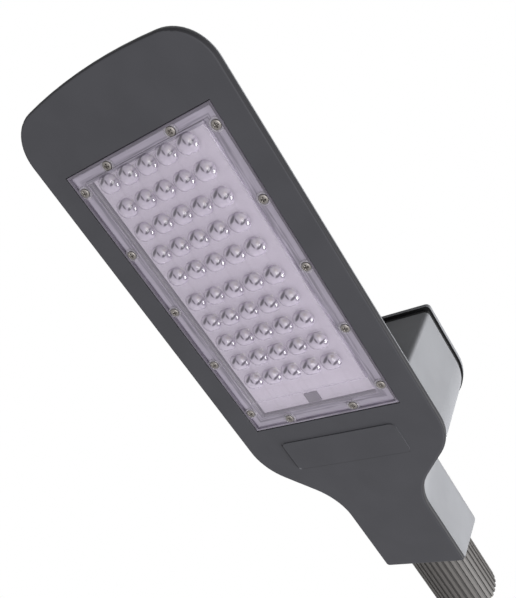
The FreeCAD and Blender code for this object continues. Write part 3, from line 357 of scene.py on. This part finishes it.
def clear_moulding(lens, colours, levels):
    """Clear moulding with a lilac haze and painted refraction, dark arcs in each lens; its gloss is the
    shader's own.
    """
    finish = Finish("Clear moulding")
    u, v = led_distance(finish, lens)
    dome = 1.0 - finish.z.rise(levels.field - 0.3 * MM, levels.field - 0.1 * MM)
    # Painted refraction: dark arcs in each lens where light bent through it would show dark.
    dark = 0.95 * soft_patch(u, v, (-1.0, -3.7), 3.3, 1.2, -37.0)
    dark = dark.higher(0.9 * soft_patch(u, v, (1.3, -2.3), 2.4, 0.8, 76.0))
    dark = dark.higher(soft_patch(u, v, (4.3, -0.2), 2.7, 1.15, -20.0))
    dark = dark.higher(0.75 * soft_patch(u, v, (5.5, 1.7), 2.5, 1.2, 90.0))
    dark = dark.higher(0.3 * soft_patch(u, v, (4.4, 2.6), 3.6, 2.8, -30.0)) * dome
    flange = past_box(finish, *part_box("led_board")).rise(0.6 * MM, 1.4 * MM)
    rear = levels.high.y - finish.y
    inset = (levels.high.x - abs(finish.x)).lower((finish.y - levels.low.y).lower(rear))
    ribbon = finish.field("ShaderNodeCombineXYZ", None, {0: inset * 1100.0, 1: (finish.x + finish.y) * 45.0})
    streak = finish.field("ShaderNodeTexNoise", None, {"Vector": ribbon, "Scale": 1.0}).rise(0.35, 0.7)
    # Painted highlight: a lighter stripe along the middle of the flange.
    ridge_highlight = (inset - 3.8 * MM).near(1.0 * MM, 2.4 * MM)
    # Painted shadow: a dark line along the moulding's edge, except at the rear, for the shade of the recess
    # wall.
    recess_shadow = (1.0 - inset.rise(1.6 * MM, 2.6 * MM)) * rear.rise(1.5 * MM, 3.0 * MM)
    haze, shadow = opaque(colours.haze), opaque(colours.refraction_and_shade)
    edge = finish.blend(opaque(colours.flange), haze, (0.3 * ridge_highlight + 0.3 * streak).lower(1.0))
    # Painted shade on the flange away from the highlight and the streaks.
    edge = finish.blend(edge, shadow, 0.5 * (1.0 - streak) * (1.0 - ridge_highlight))
    tint = finish.blend(finish.blend(haze, edge, flange), shadow, dark.higher(0.75 * recess_shadow))
    body = (0.3 + 0.06 * finish.noise(12.0 * MM)) * (1.0 + 0.6 * dome) + 0.45 * flange
    return finish.close({
        "Base Color": tint,
        "Alpha": (body + 0.6 * dark).lower(1.0),
        "Roughness": 0.1 + 0.06 * finish.noise(20.0 * MM),
        "Coat Weight": 0.6,
        "IOR": 1.49,
    })


def clear_back(colours):
    """The moulding's smooth upper face, almost unseen."""
    finish = Finish("Clear back")
    return finish.close({
        "Base Color": opaque(colours.haze),
        "Alpha": 0.02 + 0.02 * finish.noise(10.0 * MM),
        "Roughness": 0.1,
        "IOR": 1.49,
    })


def clear_boss(colours):
    """Thick clear collars: brighter haze with glossy edges."""
    finish = Finish("Clear boss")
    return finish.close({
        "Base Color": finish.shades(colours.boss, 0.15, 3.0 * MM),
        "Alpha": 0.25 + 0.3 * finish.noise(3.0 * MM),
        "Roughness": 0.12,
        "Coat Weight": 0.3,
        "IOR": 1.49,
    })


def put_mesh(name, points, faces, material):
    """Makes one object of points and faces, welds it, turns the faces outward and lets it ride."""
    mesh = bpy.data.meshes.new(name)
    mesh.from_pydata(points.tolist(), [], faces)
    shape = bmesh.new()
    shape.from_mesh(mesh)
    bmesh.ops.remove_doubles(shape, verts=shape.verts, dist=2e-6)
    bmesh.ops.dissolve_degenerate(shape, edges=shape.edges, dist=1e-7)
    bmesh.ops.recalc_face_normals(shape, faces=shape.faces)
    shape.to_mesh(mesh)
    shape.free()
    mesh.materials.append(material)
    thing = bpy.data.objects.new(name, mesh)
    bpy.context.scene.collection.objects.link(thing)
    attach(thing, "root")
    return thing


def grid_faces(rows, columns, start=0, closed=False):
    """Quads of a rows x columns grid of points; closed joins the last column to the first."""
    count = columns if closed else columns - 1
    row, column = np.meshgrid(np.arange(rows - 1), np.arange(count), indexing="ij")
    after = (column + 1) % columns
    quads = np.stack([row * columns + column, row * columns + after,
                      (row + 1) * columns + after, (row + 1) * columns + column], axis=-1)
    return (quads.reshape(-1, 4) + start).tolist()


class Heap:
    """Collects grids of points and their faces for one object."""

    def __init__(self):
        self.points = []
        self.faces = []
        self.count = 0

    def add(self, grid, closed=False):
        """Adds a (rows, columns, 3) grid as quads."""
        rows, columns = grid.shape[:2]
        self.faces += grid_faces(rows, columns, self.count, closed)
        self.points.append(grid.reshape(-1, 3))
        self.count += rows * columns

    def put(self, name, material):
        return put_mesh(name, np.concatenate(self.points), self.faces, material)


def flat_patch(xs, ys, level):
    """Level patch p(i, j) = (xs[i], ys[j], level)."""
    x, y = np.meshgrid(xs, ys, indexing="ij")
    return np.stack([x, y, np.full_like(x, level)], axis=-1)


def lens_cell(lens, level, depth, turns=32, rings=9):
    """One LED's cell: a dome of two joined ellipsoid lobes and the flat round it.

    For the angle t and ring angle f the foot's radius R(t) is the far root of
    ((r cos t - a) / b)^2 + (r sin t / c)^2 = 1, points lie at r = R sin f, and the height is
    depth (h1^8 + h2^8)^(1/8), with h = sqrt(1 - ((x -+ a) / b)^2 - (y / c)^2) for each lobe.
    The last ring is the cell's rectangle.
    """
    t = np.linspace(0.0, 2.0 * math.pi, turns, endpoint=False)
    c, s = np.cos(t), np.sin(t)
    a, wide, long = lens.lobe_offset, lens.dome_width - lens.lobe_offset, lens.dome_length
    qa = (c / wide) ** 2 + (s / long) ** 2
    qb = -2.0 * a * np.abs(c) / wide ** 2
    qc = (a / wide) ** 2 - 1.0
    foot = (-qb + np.sqrt(qb ** 2 - 4.0 * qa * qc)) / (2.0 * qa)
    f = np.linspace(0.0, math.pi / 2.0, rings)
    r = np.sin(f)[:, None] * foot[None, :]
    x, y = r * c, r * s
    lobes = [np.sqrt(np.clip(1.0 - ((x + side * a) / wide) ** 2 - (y / long) ** 2, 0.0, None))
             for side in (-1.0, 1.0)]
    height = (lobes[0] ** 8 + lobes[1] ** 8) ** 0.125
    height = np.minimum(height, 1.0)
    dome = np.stack([x, y, level - depth * height], axis=-1)
    square = np.stack([c, s], axis=-1) / np.maximum(np.abs(c), np.abs(s))[:, None]
    edge = np.stack([square[:, 0] * lens.column_pitch / 2.0, square[:, 1] * lens.cell_half,
                     np.full(turns, level)], axis=-1)
    dome[-1, :, 2] = level
    return np.concatenate([dome, edge[None]])


def border(xs, ys, low, high, level):
    """Closed rectangular loop with the spacing of xs and ys, stretched to low..high, at a level."""
    along = (xs - xs[0]) / (xs[-1] - xs[0])
    up = (ys - ys[0]) / (ys[-1] - ys[0])
    x = low[0] + along * (high[0] - low[0])
    y = low[1] + up * (high[1] - low[1])
    front = np.stack([x[:-1], np.full(len(x) - 1, low[1])], axis=-1)
    right = np.stack([np.full(len(y) - 1, high[0]), y[:-1]], axis=-1)
    rear = np.stack([x[:0:-1], np.full(len(x) - 1, high[1])], axis=-1)
    left = np.stack([np.full(len(y) - 1, low[0]), y[:0:-1]], axis=-1)
    loop = np.concatenate([front, right, rear, left])
    return np.column_stack([loop, np.full(len(loop), level)])


class Levels:
    """Heights of the lens moulding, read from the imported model."""

    def __init__(self, lens):
        low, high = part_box("lens_plate")
        self.low, self.high = low, high
        self.tip = low.z
        self.top = high.z
        self.flange = high.z - lens.sheet
        self.field = self.flange - lens.field_rise
        self.rim = self.flange - lens.rim_rise


def lens_moulding(lens, levels, clear, back):
    """Closed moulding: dome cells and strips, then border loops (rectangle, level) up to the top."""
    columns = (np.arange(lens.columns) - (lens.columns - 1) / 2.0) * lens.column_pitch
    bank = lens.first_row + np.arange(lens.rows) * lens.row_pitch
    rows = np.concatenate([bank, bank + lens.bank_step])
    cell = lens_cell(lens, levels.field, levels.field - levels.tip)
    heap = Heap()
    for y in rows:
        for x in columns:
            heap.add(cell + np.array([x, y, 0.0]), closed=True)
    edge = cell[-1]
    span_x = np.unique(np.round(edge[:, 0], 9))
    span_y = np.unique(np.round(edge[:, 1], 9))
    half = lens.field_half
    inner_x = np.unique(np.round((columns[:, None] + span_x).ravel(), 8))
    xs = np.concatenate([[-half], inner_x, [half]])
    ys = np.concatenate([[lens.field_front], (rows[:, None] + span_y).ravel(), [lens.field_rear]])
    for y in rows:
        for side in (xs[:2], xs[-2:]):
            heap.add(flat_patch(side, y + span_y, levels.field))
    starts = np.concatenate([[lens.field_front], rows + lens.cell_half])
    ends = np.concatenate([rows - lens.cell_half, [lens.field_rear]])
    for start, end in zip(starts, ends):
        heap.add(flat_patch(xs, np.array([start, end]), levels.field))
    low, high = np.array(levels.low)[:2], np.array(levels.high)[:2]
    field_low, field_high = np.array([-half, lens.field_front]), np.array([half, lens.field_rear])
    outline = [
        (field_low, field_high, levels.field),
        (field_low - 0.3 * MM, field_high + 0.3 * MM, levels.field + 0.15 * MM),
        (field_low - 0.5 * MM, field_high + 0.5 * MM, levels.flange),
        (low + 1.7 * MM, high - 1.7 * MM, levels.flange),
        (low + 1.5 * MM, high - 1.5 * MM, levels.rim + 0.1 * MM),
        (low + 1.3 * MM, high - 1.3 * MM, levels.rim),
        (low + 0.3 * MM, high - 0.3 * MM, levels.rim),
        (low, high, levels.rim + 0.3 * MM),
        (low, high, levels.top),
    ]
    loops = np.stack([border(xs, ys, *step) for step in outline])
    heap.add(loops, closed=True)
    middle = (low + high) / 2.0
    peak = border(xs, ys, middle, middle, levels.top)
    heap.add(np.stack([loops[-1], peak]), closed=True)
    moulding = heap.put("lens_moulding", clear)
    moulding.data.materials.append(back)
    mesh = moulding.data
    heights = np.empty(len(mesh.polygons) * 3)
    mesh.polygons.foreach_get("center", heights)
    upper = heights.reshape(-1, 3)[:, 2] > levels.top - 0.01 * MM
    mesh.polygons.foreach_set("material_index", upper.astype(np.int32))
    mesh.shade_smooth()
    mesh.set_sharp_from_angle(angle=math.radians(35.0))
    return moulding


def disc_grid(size):
    """Unit disc on a square grid: (u sqrt(1 - v^2/2), v sqrt(1 - u^2/2)) for u, v in -1..1."""
    u, v = np.meshgrid(np.linspace(-1.0, 1.0, size), np.linspace(-1.0, 1.0, size), indexing="ij")
    return u * np.sqrt(1.0 - v * v / 2.0), v * np.sqrt(1.0 - u * u / 2.0)


def cross_screw(radius, height, shank, length, turn, size=25):
    """Pan-head screw, head up, seat at z = 0: a domed disc with a cross recess, then loops down.

    Over the unit disc the head is z = height (0.62 + 0.38 sqrt(1 - 0.96 r^2)) less the recess, 0.6 height
    deep in the cross min(|x|, |y|) < 0.11, max(|x|, |y|) < 0.48, with walls that slope out to 0.19 and 0.6.
    """
    x, y = disc_grid(size)
    r2 = x * x + y * y
    thin = np.minimum(np.abs(x), np.abs(y))
    far = np.maximum(np.abs(x), np.abs(y))
    wall = np.clip((0.19 - thin) / 0.08, 0.0, 1.0) * np.clip((0.6 - far) / 0.12, 0.0, 1.0)
    z = height * (0.62 + 0.38 * np.sqrt(1.0 - 0.96 * r2)) - 0.6 * height * wall
    top = np.stack([x * radius, y * radius, z], axis=-1)
    rim = np.concatenate([top[:-1, 0], top[-1, :-1], top[:0:-1, -1], top[0, :0:-1]])
    unit = rim[:, :2] / radius
    steps = [(radius, rim[0, 2]), (radius, 0.1 * height), (radius * 0.97, 0.0), (shank, 0.0),
             (shank, 1.0 * MM - length), (0.0, -length)]
    loops = np.stack([np.column_stack([unit * r, np.full(len(unit), level)]) for r, level in steps])
    c, s = math.cos(turn), math.sin(turn)
    spin = np.array([[c, s, 0.0], [-s, c, 0.0], [0.0, 0.0, 1.0]])
    return top @ spin, loops @ spin


def hex_loops(corner, steps, turns=48):
    """Loops about the z axis, a step (limit, level) each, cut from a hexagon of that corner radius.

    The radius is min(corner cos 30 deg / cos((t mod 60 deg) - 30 deg), limit).
    """
    t = np.linspace(0.0, 2.0 * math.pi, turns, endpoint=False)
    flat = np.mod(t, math.pi / 3.0) - math.pi / 6.0
    hexagon = corner * math.cos(math.pi / 6.0) / np.cos(flat)
    loops = []
    for limit, level in steps:
        r = np.minimum(hexagon, limit)
        loops.append(np.column_stack([r * np.cos(t), r * np.sin(t), np.full(turns, level)]))
    return np.stack(loops)


def node_islands(node):
    """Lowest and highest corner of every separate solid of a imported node, along the row axes."""
    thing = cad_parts[node]
    mesh = thing.data
    flat = np.empty(len(mesh.vertices) * 3)
    mesh.vertices.foreach_get("co", flat)
    world = np.array(thing.matrix_world)
    points = flat.reshape(-1, 3) @ world[:3, :3].T + world[:3, 3]
    keys = np.round(points * 1e5).astype(np.int64)
    merged = np.unique(keys, axis=0, return_inverse=True)[1].ravel()
    label = np.arange(merged.max() + 1)
    corners = np.array([[merged[i] for i in face.vertices[:3]] for face in mesh.polygons])
    while True:
        least = label[corners].min(axis=1)
        before = label.copy()
        for column in range(3):
            np.minimum.at(label, corners[:, column], least)
        if np.array_equal(before, label):
            break
    groups = label[merged]
    return [(points[groups == g].min(axis=0), points[groups == g].max(axis=0))
            for g in np.unique(groups)]


def screws_for(node, name, facing, material, seed):
    """Cross-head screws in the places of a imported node's solids; facing is +1 up or -1 down."""
    random = np.random.default_rng(seed)
    heap = Heap()
    for low, high in node_islands(node):
        radius = (high[0] - low[0]) / 2.0
        height = 0.68 * radius
        centre = (low + high) / 2.0
        seat = (high[2] - height) if facing > 0 else (low[2] + height)
        length = (high[2] - low[2]) - height
        for grid, closed in zip(cross_screw(radius, height, radius * 0.5, length,
                                            random.uniform(0.0, math.pi)), (False, True)):
            grid = grid * np.array([1.0, facing, facing]) + np.array([centre[0], centre[1], seat])
            heap.add(grid, closed)
    screws = heap.put(name, material)
    screws.data.shade_smooth()
    screws.data.set_sharp_from_angle(angle=math.radians(40.0))
    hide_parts(node)
    return screws


def hexagons_for(node, name, material, head=None):
    """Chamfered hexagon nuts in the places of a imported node's solids, or bolts with that head height."""
    heap = Heap()
    for low, high in node_islands(node):
        corner = (high[0] - low[0]) / 2.0
        top, foot = high[2], high[2] - head if head else low[2]
        chamfer, bevel, thread = 0.82 * corner, 0.1 * corner, 0.54 * corner
        outside = [(chamfer, top), (corner, top - bevel), (corner, foot + bevel), (chamfer, foot)]
        if head:
            tip = low[2]
            steps = [(0.0, top), *outside, (thread, foot), (thread, tip + 1.0 * MM), (0.6 * thread, tip),
                     (0.0, tip)]
        else:
            inside = 1.05 * thread
            steps = [(inside, top), *outside, (inside, foot), (inside, top)]
        middle = (low + high) / 2.0
        heap.add(hex_loops(corner, steps) + np.array([middle[0], middle[1], 0.0]), closed=True)
    things = heap.put(name, material)
    things.data.shade_smooth()
    things.data.set_sharp_from_angle(angle=math.radians(25.0))
    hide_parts(node)
    return things


def screw_bosses(material):
    """Clear collars round the lens screws: a closed profile of (radius, height) in mm turned about each."""
    profile = ((2.9, 0.3), (2.9, -0.9), (3.2, -1.2), (3.9, -1.2), (4.2, -0.9), (4.4, 0.3), (2.9, 0.3))
    turns = np.linspace(0.0, 2.0 * math.pi, 36, endpoint=False)
    heap = Heap()
    for low, high in node_islands("lens_screws"):
        centre = (low + high) / 2.0
        seat = low[2] + LENS_SCREW_HEAD
        loops = [np.column_stack([centre[0] + r * MM * np.cos(turns), centre[1] + r * MM * np.sin(turns),
                                  np.full_like(turns, seat + z * MM)]) for r, z in profile]
        heap.add(np.stack(loops), closed=True)
    bosses = heap.put("screw_bosses", material)
    bosses.data.shade_smooth()
    bosses.data.set_sharp_from_angle(angle=math.radians(50.0))
    return bosses


class LensSizes(PropertyGroup):
    """Sizes of the lens moulding, in the row frame."""

    columns: IntProperty(name="Columns", description="LEDs across", default=5)
    rows: IntProperty(name="Rows", description="LEDs along one bank", default=5)
    column_pitch: FloatProperty(name="Column pitch", description="Step across", default=0.0145, unit="LENGTH")
    row_pitch: FloatProperty(name="Row pitch", description="Step along", default=0.0167, unit="LENGTH")
    bank_step: FloatProperty(name="Bank step", description="From bank to bank", default=0.0867, unit="LENGTH")
    first_row: FloatProperty(name="First row", description="Place of the first row", default=-0.35525,
                             unit="LENGTH")
    cell_half: FloatProperty(name="Cell half", description="Half a cell's length", default=0.00615,
                             unit="LENGTH")
    dome_width: FloatProperty(name="Dome half width", description="Across the lobes", default=0.0067,
                              unit="LENGTH")
    dome_length: FloatProperty(name="Dome half length", description="Along a lobe", default=0.006,
                               unit="LENGTH")
    lobe_offset: FloatProperty(name="Lobe offset", description="Lobe from the middle", default=0.0016,
                               unit="LENGTH")
    field_half: FloatProperty(name="Field half width", description="Raised field", default=0.0435,
                              unit="LENGTH")
    field_front: FloatProperty(name="Field front", description="Nose end", default=-0.36145, unit="LENGTH")
    field_rear: FloatProperty(name="Field rear", description="Pole end", default=-0.18375, unit="LENGTH")
    sheet: FloatProperty(name="Sheet", description="Thickness", default=0.0018, unit="LENGTH")
    field_rise: FloatProperty(name="Field rise", description="Field below flange", default=0.0017,
                              unit="LENGTH")
    rim_rise: FloatProperty(name="Rim rise", description="Rim below flange", default=0.0016, unit="LENGTH")


class FaceSizes(PropertyGroup):
    """Place of the raised panel on the face plate."""

    panel_half: FloatProperty(name="Panel half width", description="Raised panel", default=0.0428,
                              unit="LENGTH")
    panel_front: FloatProperty(name="Panel front", description="Nose side", default=-0.1452, unit="LENGTH")
    panel_rear: FloatProperty(name="Panel rear", description="Pole side", default=-0.1192, unit="LENGTH")
    panel_rise: FloatProperty(name="Panel rise", description="Below the plate", default=0.0008, unit="LENGTH")


def colour(name, text, value):
    """A colour property in linear values."""
    return FloatVectorProperty(name=name, description=text, default=value, size=3, subtype="COLOR",
                               min=0.0, max=1.0)


class Colours(PropertyGroup):
    """Linear colours of the finishes."""

    # Painted shade: the face plate's grey paint as it looks in shade.
    dark_paint: colour("Shaded face paint", "Face plate", (0.069, 0.069, 0.0775))
    light_paint: colour("Light paint", "Driver box", (0.298, 0.303, 0.321))
    rubber: colour("Rubber", "Seals", (0.012, 0.012, 0.013))
    silicone: colour("Silicone", "Lens seal", (0.3, 0.29, 0.31))
    board: colour("Board", "Solder mask", (0.76, 0.7, 0.79))
    phosphor: colour("Phosphor", "LED pools", (0.5, 0.42, 0.26))
    haze: colour("Haze", "Clear moulding", (0.6, 0.54, 0.66))
    flange: colour("Flange", "Edge of the clear moulding", (0.42, 0.38, 0.475))
    boss: colour("Boss", "Collars round the screws", (0.55, 0.52, 0.57))
    # Painted refraction in each lens's lobes, and painted shade along the moulding's edge.
    refraction_and_shade: colour("Lens dark", "Lobes of a lens", (0.1, 0.085, 0.115))
    connector: colour("Connector", "Board connector", (0.1, 0.094, 0.105))
    steel: colour("Steel", "Screws", (0.25, 0.232, 0.22))
    driver: colour("Driver case", "Power supply", (0.62, 0.62, 0.6))
    terminal: colour("Terminal", "Terminal block", (0.7, 0.68, 0.6))
    brass: colour("Brass", "Terminal screws", (0.66, 0.45, 0.16))
    tube: colour("Tube", "Arm tube", (0.088, 0.082, 0.078))


class StageSizes(PropertyGroup):
    """Camera and lamps."""

    camera: FloatVectorProperty(name="Camera", description="Place of the camera", subtype="XYZ",
                                unit="LENGTH", default=(0.2303, -0.4157, -0.3287))
    forward: FloatVectorProperty(name="Forward", description="Viewing direction", subtype="DIRECTION",
                                 default=(-0.542, 0.391, 0.744))
    up: FloatVectorProperty(name="Up", description="Upward side of the picture", subtype="DIRECTION",
                            default=(0.266, -0.760, 0.593))
    focal: FloatProperty(name="Focal length", description="For a 36 mm film", default=42.04)
    floor: FloatProperty(name="Floor", description="Depth of the floor", default=-2.8, unit="LENGTH")
    ambient: FloatProperty(name="Ambient", description="Light from all sides", default=0.11)


class StreetLight:
    """Shared parts of every operator here."""

    bl_options = {"REGISTER", "UNDO"}

    @property
    def looks(self):
        return bpy.context.scene.street_light_colours

    @property
    def lens(self):
        return bpy.context.scene.street_light_lens

    @staticmethod
    def cover(material, *nodes):
        """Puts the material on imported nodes."""
        for node in nodes:
            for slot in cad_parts[node].material_slots:
                slot.material = material


class STREETLIGHT_OT_castings(StreetLight, Operator):
    """Paints the face plate, the driver box and its lid"""

    bl_idname = "street_light.castings"
    bl_label = "Paint castings"

    def execute(self, context):
        face = context.scene.street_light_face
        self.cover(face_paint(self.looks, face), "body_plate")
        self.cover(box_paint(self.looks), "driver_housing", "driver_lid")
        return {"FINISHED"}


class STREETLIGHT_OT_seals(StreetLight, Operator):
    """Gives the gaskets and bushes their rubber"""

    bl_idname = "street_light.seals"
    bl_label = "Finish seals"

    def execute(self, context):
        self.cover(soft("Black rubber", self.looks.rubber, 0.55), "lid_gasket", "wire_grommet",
                   "housing_gasket", "cable_grommet")
        self.cover(soft("Silicone", self.looks.silicone, 0.5), "lens_gasket", "thermal_sheet")
        return {"FINISHED"}


class STREETLIGHT_OT_board(StreetLight, Operator):
    """Finishes the LED board, its chips and its connector"""

    bl_idname = "street_light.board"
    bl_label = "Finish board"

    def execute(self, context):
        self.cover(board_white(self.lens, self.looks), "led_board")
        self.cover(chip_yellow(self.lens, self.looks), "led_chips")
        self.cover(soft("Dark plastic", self.looks.connector, 0.45), "board_connector")
        return {"FINISHED"}


class STREETLIGHT_OT_lens(StreetLight, Operator):
    """Builds the clear moulding with its two-lobed lenses"""

    bl_idname = "street_light.lens"
    bl_label = "Build lens moulding"

    def execute(self, context):
        levels = Levels(self.lens)
        clear = clear_moulding(self.lens, self.looks, levels)
        moulding = lens_moulding(self.lens, levels, clear, clear_back(self.looks))
        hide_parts("lens_plate")
        screw_bosses(clear_boss(self.looks))
        return {"FINISHED"}


class STREETLIGHT_OT_fasteners(StreetLight, Operator):
    """Builds the screws that are seen and finishes the metal inside"""

    bl_idname = "street_light.fasteners"
    bl_label = "Build fasteners"

    def execute(self, context):
        steel = metal("Screw steel", self.looks.steel, 0.38)
        screws_for("lens_screws", "lens_screw_heads", -1.0, steel, 4)
        screws_for("lid_screws", "lid_screw_heads", 1.0, steel, 5)
        hexagons_for("clamp_bolts", "clamp_bolt_hexagons", steel, head=BOLT_HEAD)
        hexagons_for("clamp_nuts", "clamp_nut_hexagons", steel)
        self.cover(steel, "housing_screws", "driver_brackets", "driver_screws")
        self.cover(metal("Brass", self.looks.brass, 0.3), "terminal_screws", "earth_screw")
        return {"FINISHED"}


class STREETLIGHT_OT_supply(StreetLight, Operator):
    """Finishes the power supply, the terminals and the arm tube"""

    bl_idname = "street_light.supply"
    bl_label = "Finish supply and tube"

    def execute(self, context):
        self.cover(metal("Driver metal", self.looks.driver, 0.4), "led_driver")
        self.cover(soft("Terminal plastic", self.looks.terminal, 0.4), "terminal_block")
        self.cover(tube_metal(self.looks.tube), "arm_tube")
        return {"FINISHED"}


def pale_floor():
    """Pale floor; camera and reflections find it mostly white, so that it meets the white surroundings."""
    finish = Finish("Floor")
    path = finish.node("ShaderNodeLightPath").outputs
    camera, glossy, through = (Field(finish, path[name]) for name in SEEN)
    seen = camera.higher(glossy).higher(through)
    matt = finish.field("ShaderNodeBsdfDiffuse", None, {"Color": finish.shades((0.8, 0.8, 0.8), 0.02, 0.5)})
    white = finish.field("ShaderNodeEmission", None, {"Color": WHITE, "Strength": 1.0})
    mixed = finish.field("ShaderNodeMixShader", None, {0: 0.85 * seen, 1: matt, 2: white})
    finish.node("ShaderNodeOutputMaterial", inputs={"Surface": mixed})
    return finish.material


def area_lamp(name, place, aim, size, power):
    """Square soft lamp at a place, turned to an aim."""
    data = bpy.data.lights.new(name, "AREA")
    data.shape = "SQUARE"
    data.size = size
    data.energy = power
    lamp = bpy.data.objects.new(name, data)
    lamp.location = place
    lamp.rotation_euler = (Vector(aim) - Vector(place)).to_track_quat("-Z", "Y").to_euler()
    bpy.context.scene.collection.objects.link(lamp)
    return lamp


class STREETLIGHT_OT_stage(StreetLight, Operator):
    """Sets the floor, the lamps, the white surroundings and the camera"""

    bl_idname = "street_light.stage"
    bl_label = "Set stage"

    def execute(self, context):
        sizes = context.scene.street_light_stage
        self.floor(sizes)
        self.world(context.scene, sizes)
        self.camera(context.scene, sizes)
        middle = (0.0, -0.2, 0.0)
        for name, place, size, power in LAMPS:
            area_lamp(name, place, middle, size, power)
        return {"FINISHED"}

    @staticmethod
    def floor(sizes):
        span = np.array([-60.0, 60.0])
        grid = flat_patch(span, span, sizes.floor).reshape(-1, 3)
        mesh = bpy.data.meshes.new("Floor")
        mesh.from_pydata(grid.tolist(), [], [(0, 2, 3, 1)])
        mesh.materials.append(pale_floor())
        floor = bpy.data.objects.new("Floor", mesh)
        bpy.context.scene.collection.objects.link(floor)

    @staticmethod
    def world(scene, sizes):
        scene.world = scene.world or bpy.data.worlds.new("World")
        scene.world.use_nodes = True
        tree = scene.world.node_tree
        tree.nodes.clear()
        path = tree.nodes.new("ShaderNodeLightPath")
        level = tree.nodes.new("ShaderNodeValue").outputs[0]
        level.default_value = sizes.ambient
        for name in SEEN:
            white = tree.nodes.new("ShaderNodeMath")
            white.operation = "MAXIMUM"
            tree.links.new(level, white.inputs[0])
            tree.links.new(path.outputs[name], white.inputs[1])
            level = white.outputs[0]
        background = tree.nodes.new("ShaderNodeBackground")
        background.inputs["Color"].default_value = WHITE
        tree.links.new(level, background.inputs["Strength"])
        output = tree.nodes.new("ShaderNodeOutputWorld")
        tree.links.new(background.outputs[0], output.inputs["Surface"])

    @staticmethod
    def camera(scene, sizes):
        data = bpy.data.cameras.new("Camera")
        data.lens = sizes.focal
        data.clip_start = 0.01
        camera = bpy.data.objects.new("Camera", data)
        back = -Vector(sizes.forward).normalized()
        right = Vector(sizes.up).cross(back).normalized()
        up = back.cross(right)
        turn = Matrix((right, up, back)).transposed()
        camera.matrix_world = Matrix.LocRotScale(Vector(sizes.camera), turn, None)
        scene.collection.objects.link(camera)
        scene.camera = camera
        scene.view_settings.view_transform = "Standard"


class STREETLIGHT_PT_panel(Panel):
    """Buttons for every piece of the street light"""

    bl_idname = "STREETLIGHT_PT_panel"
    bl_label = "Street Light"
    bl_space_type = "VIEW_3D"
    bl_region_type = "UI"
    bl_category = "Street Light"

    def draw(self, context):
        for operator in OPERATORS:
            self.layout.operator(operator.bl_idname)


OPERATORS = (
    STREETLIGHT_OT_castings,
    STREETLIGHT_OT_seals,
    STREETLIGHT_OT_board,
    STREETLIGHT_OT_lens,
    STREETLIGHT_OT_fasteners,
    STREETLIGHT_OT_supply,
    STREETLIGHT_OT_stage,
)
CLASSES = (LensSizes, FaceSizes, Colours, StageSizes) + OPERATORS + (STREETLIGHT_PT_panel,)


def register():
    for item in CLASSES:
        bpy.utils.register_class(item)
    bpy.types.Scene.street_light_lens = PointerProperty(type=LensSizes)
    bpy.types.Scene.street_light_face = PointerProperty(type=FaceSizes)
    bpy.types.Scene.street_light_colours = PointerProperty(type=Colours)
    bpy.types.Scene.street_light_stage = PointerProperty(type=StageSizes)


def unregister():
    del bpy.types.Scene.street_light_stage
    del bpy.types.Scene.street_light_colours
    del bpy.types.Scene.street_light_face
    del bpy.types.Scene.street_light_lens
    for item in reversed(CLASSES):
        bpy.utils.unregister_class(item)


def main():
    register()
    bpy.ops.street_light.castings()
    bpy.ops.street_light.seals()
    bpy.ops.street_light.board()
    bpy.ops.street_light.lens()
    bpy.ops.street_light.fasteners()
    bpy.ops.street_light.supply()
    bpy.ops.street_light.stage()


if __name__ == "__main__":
    main()
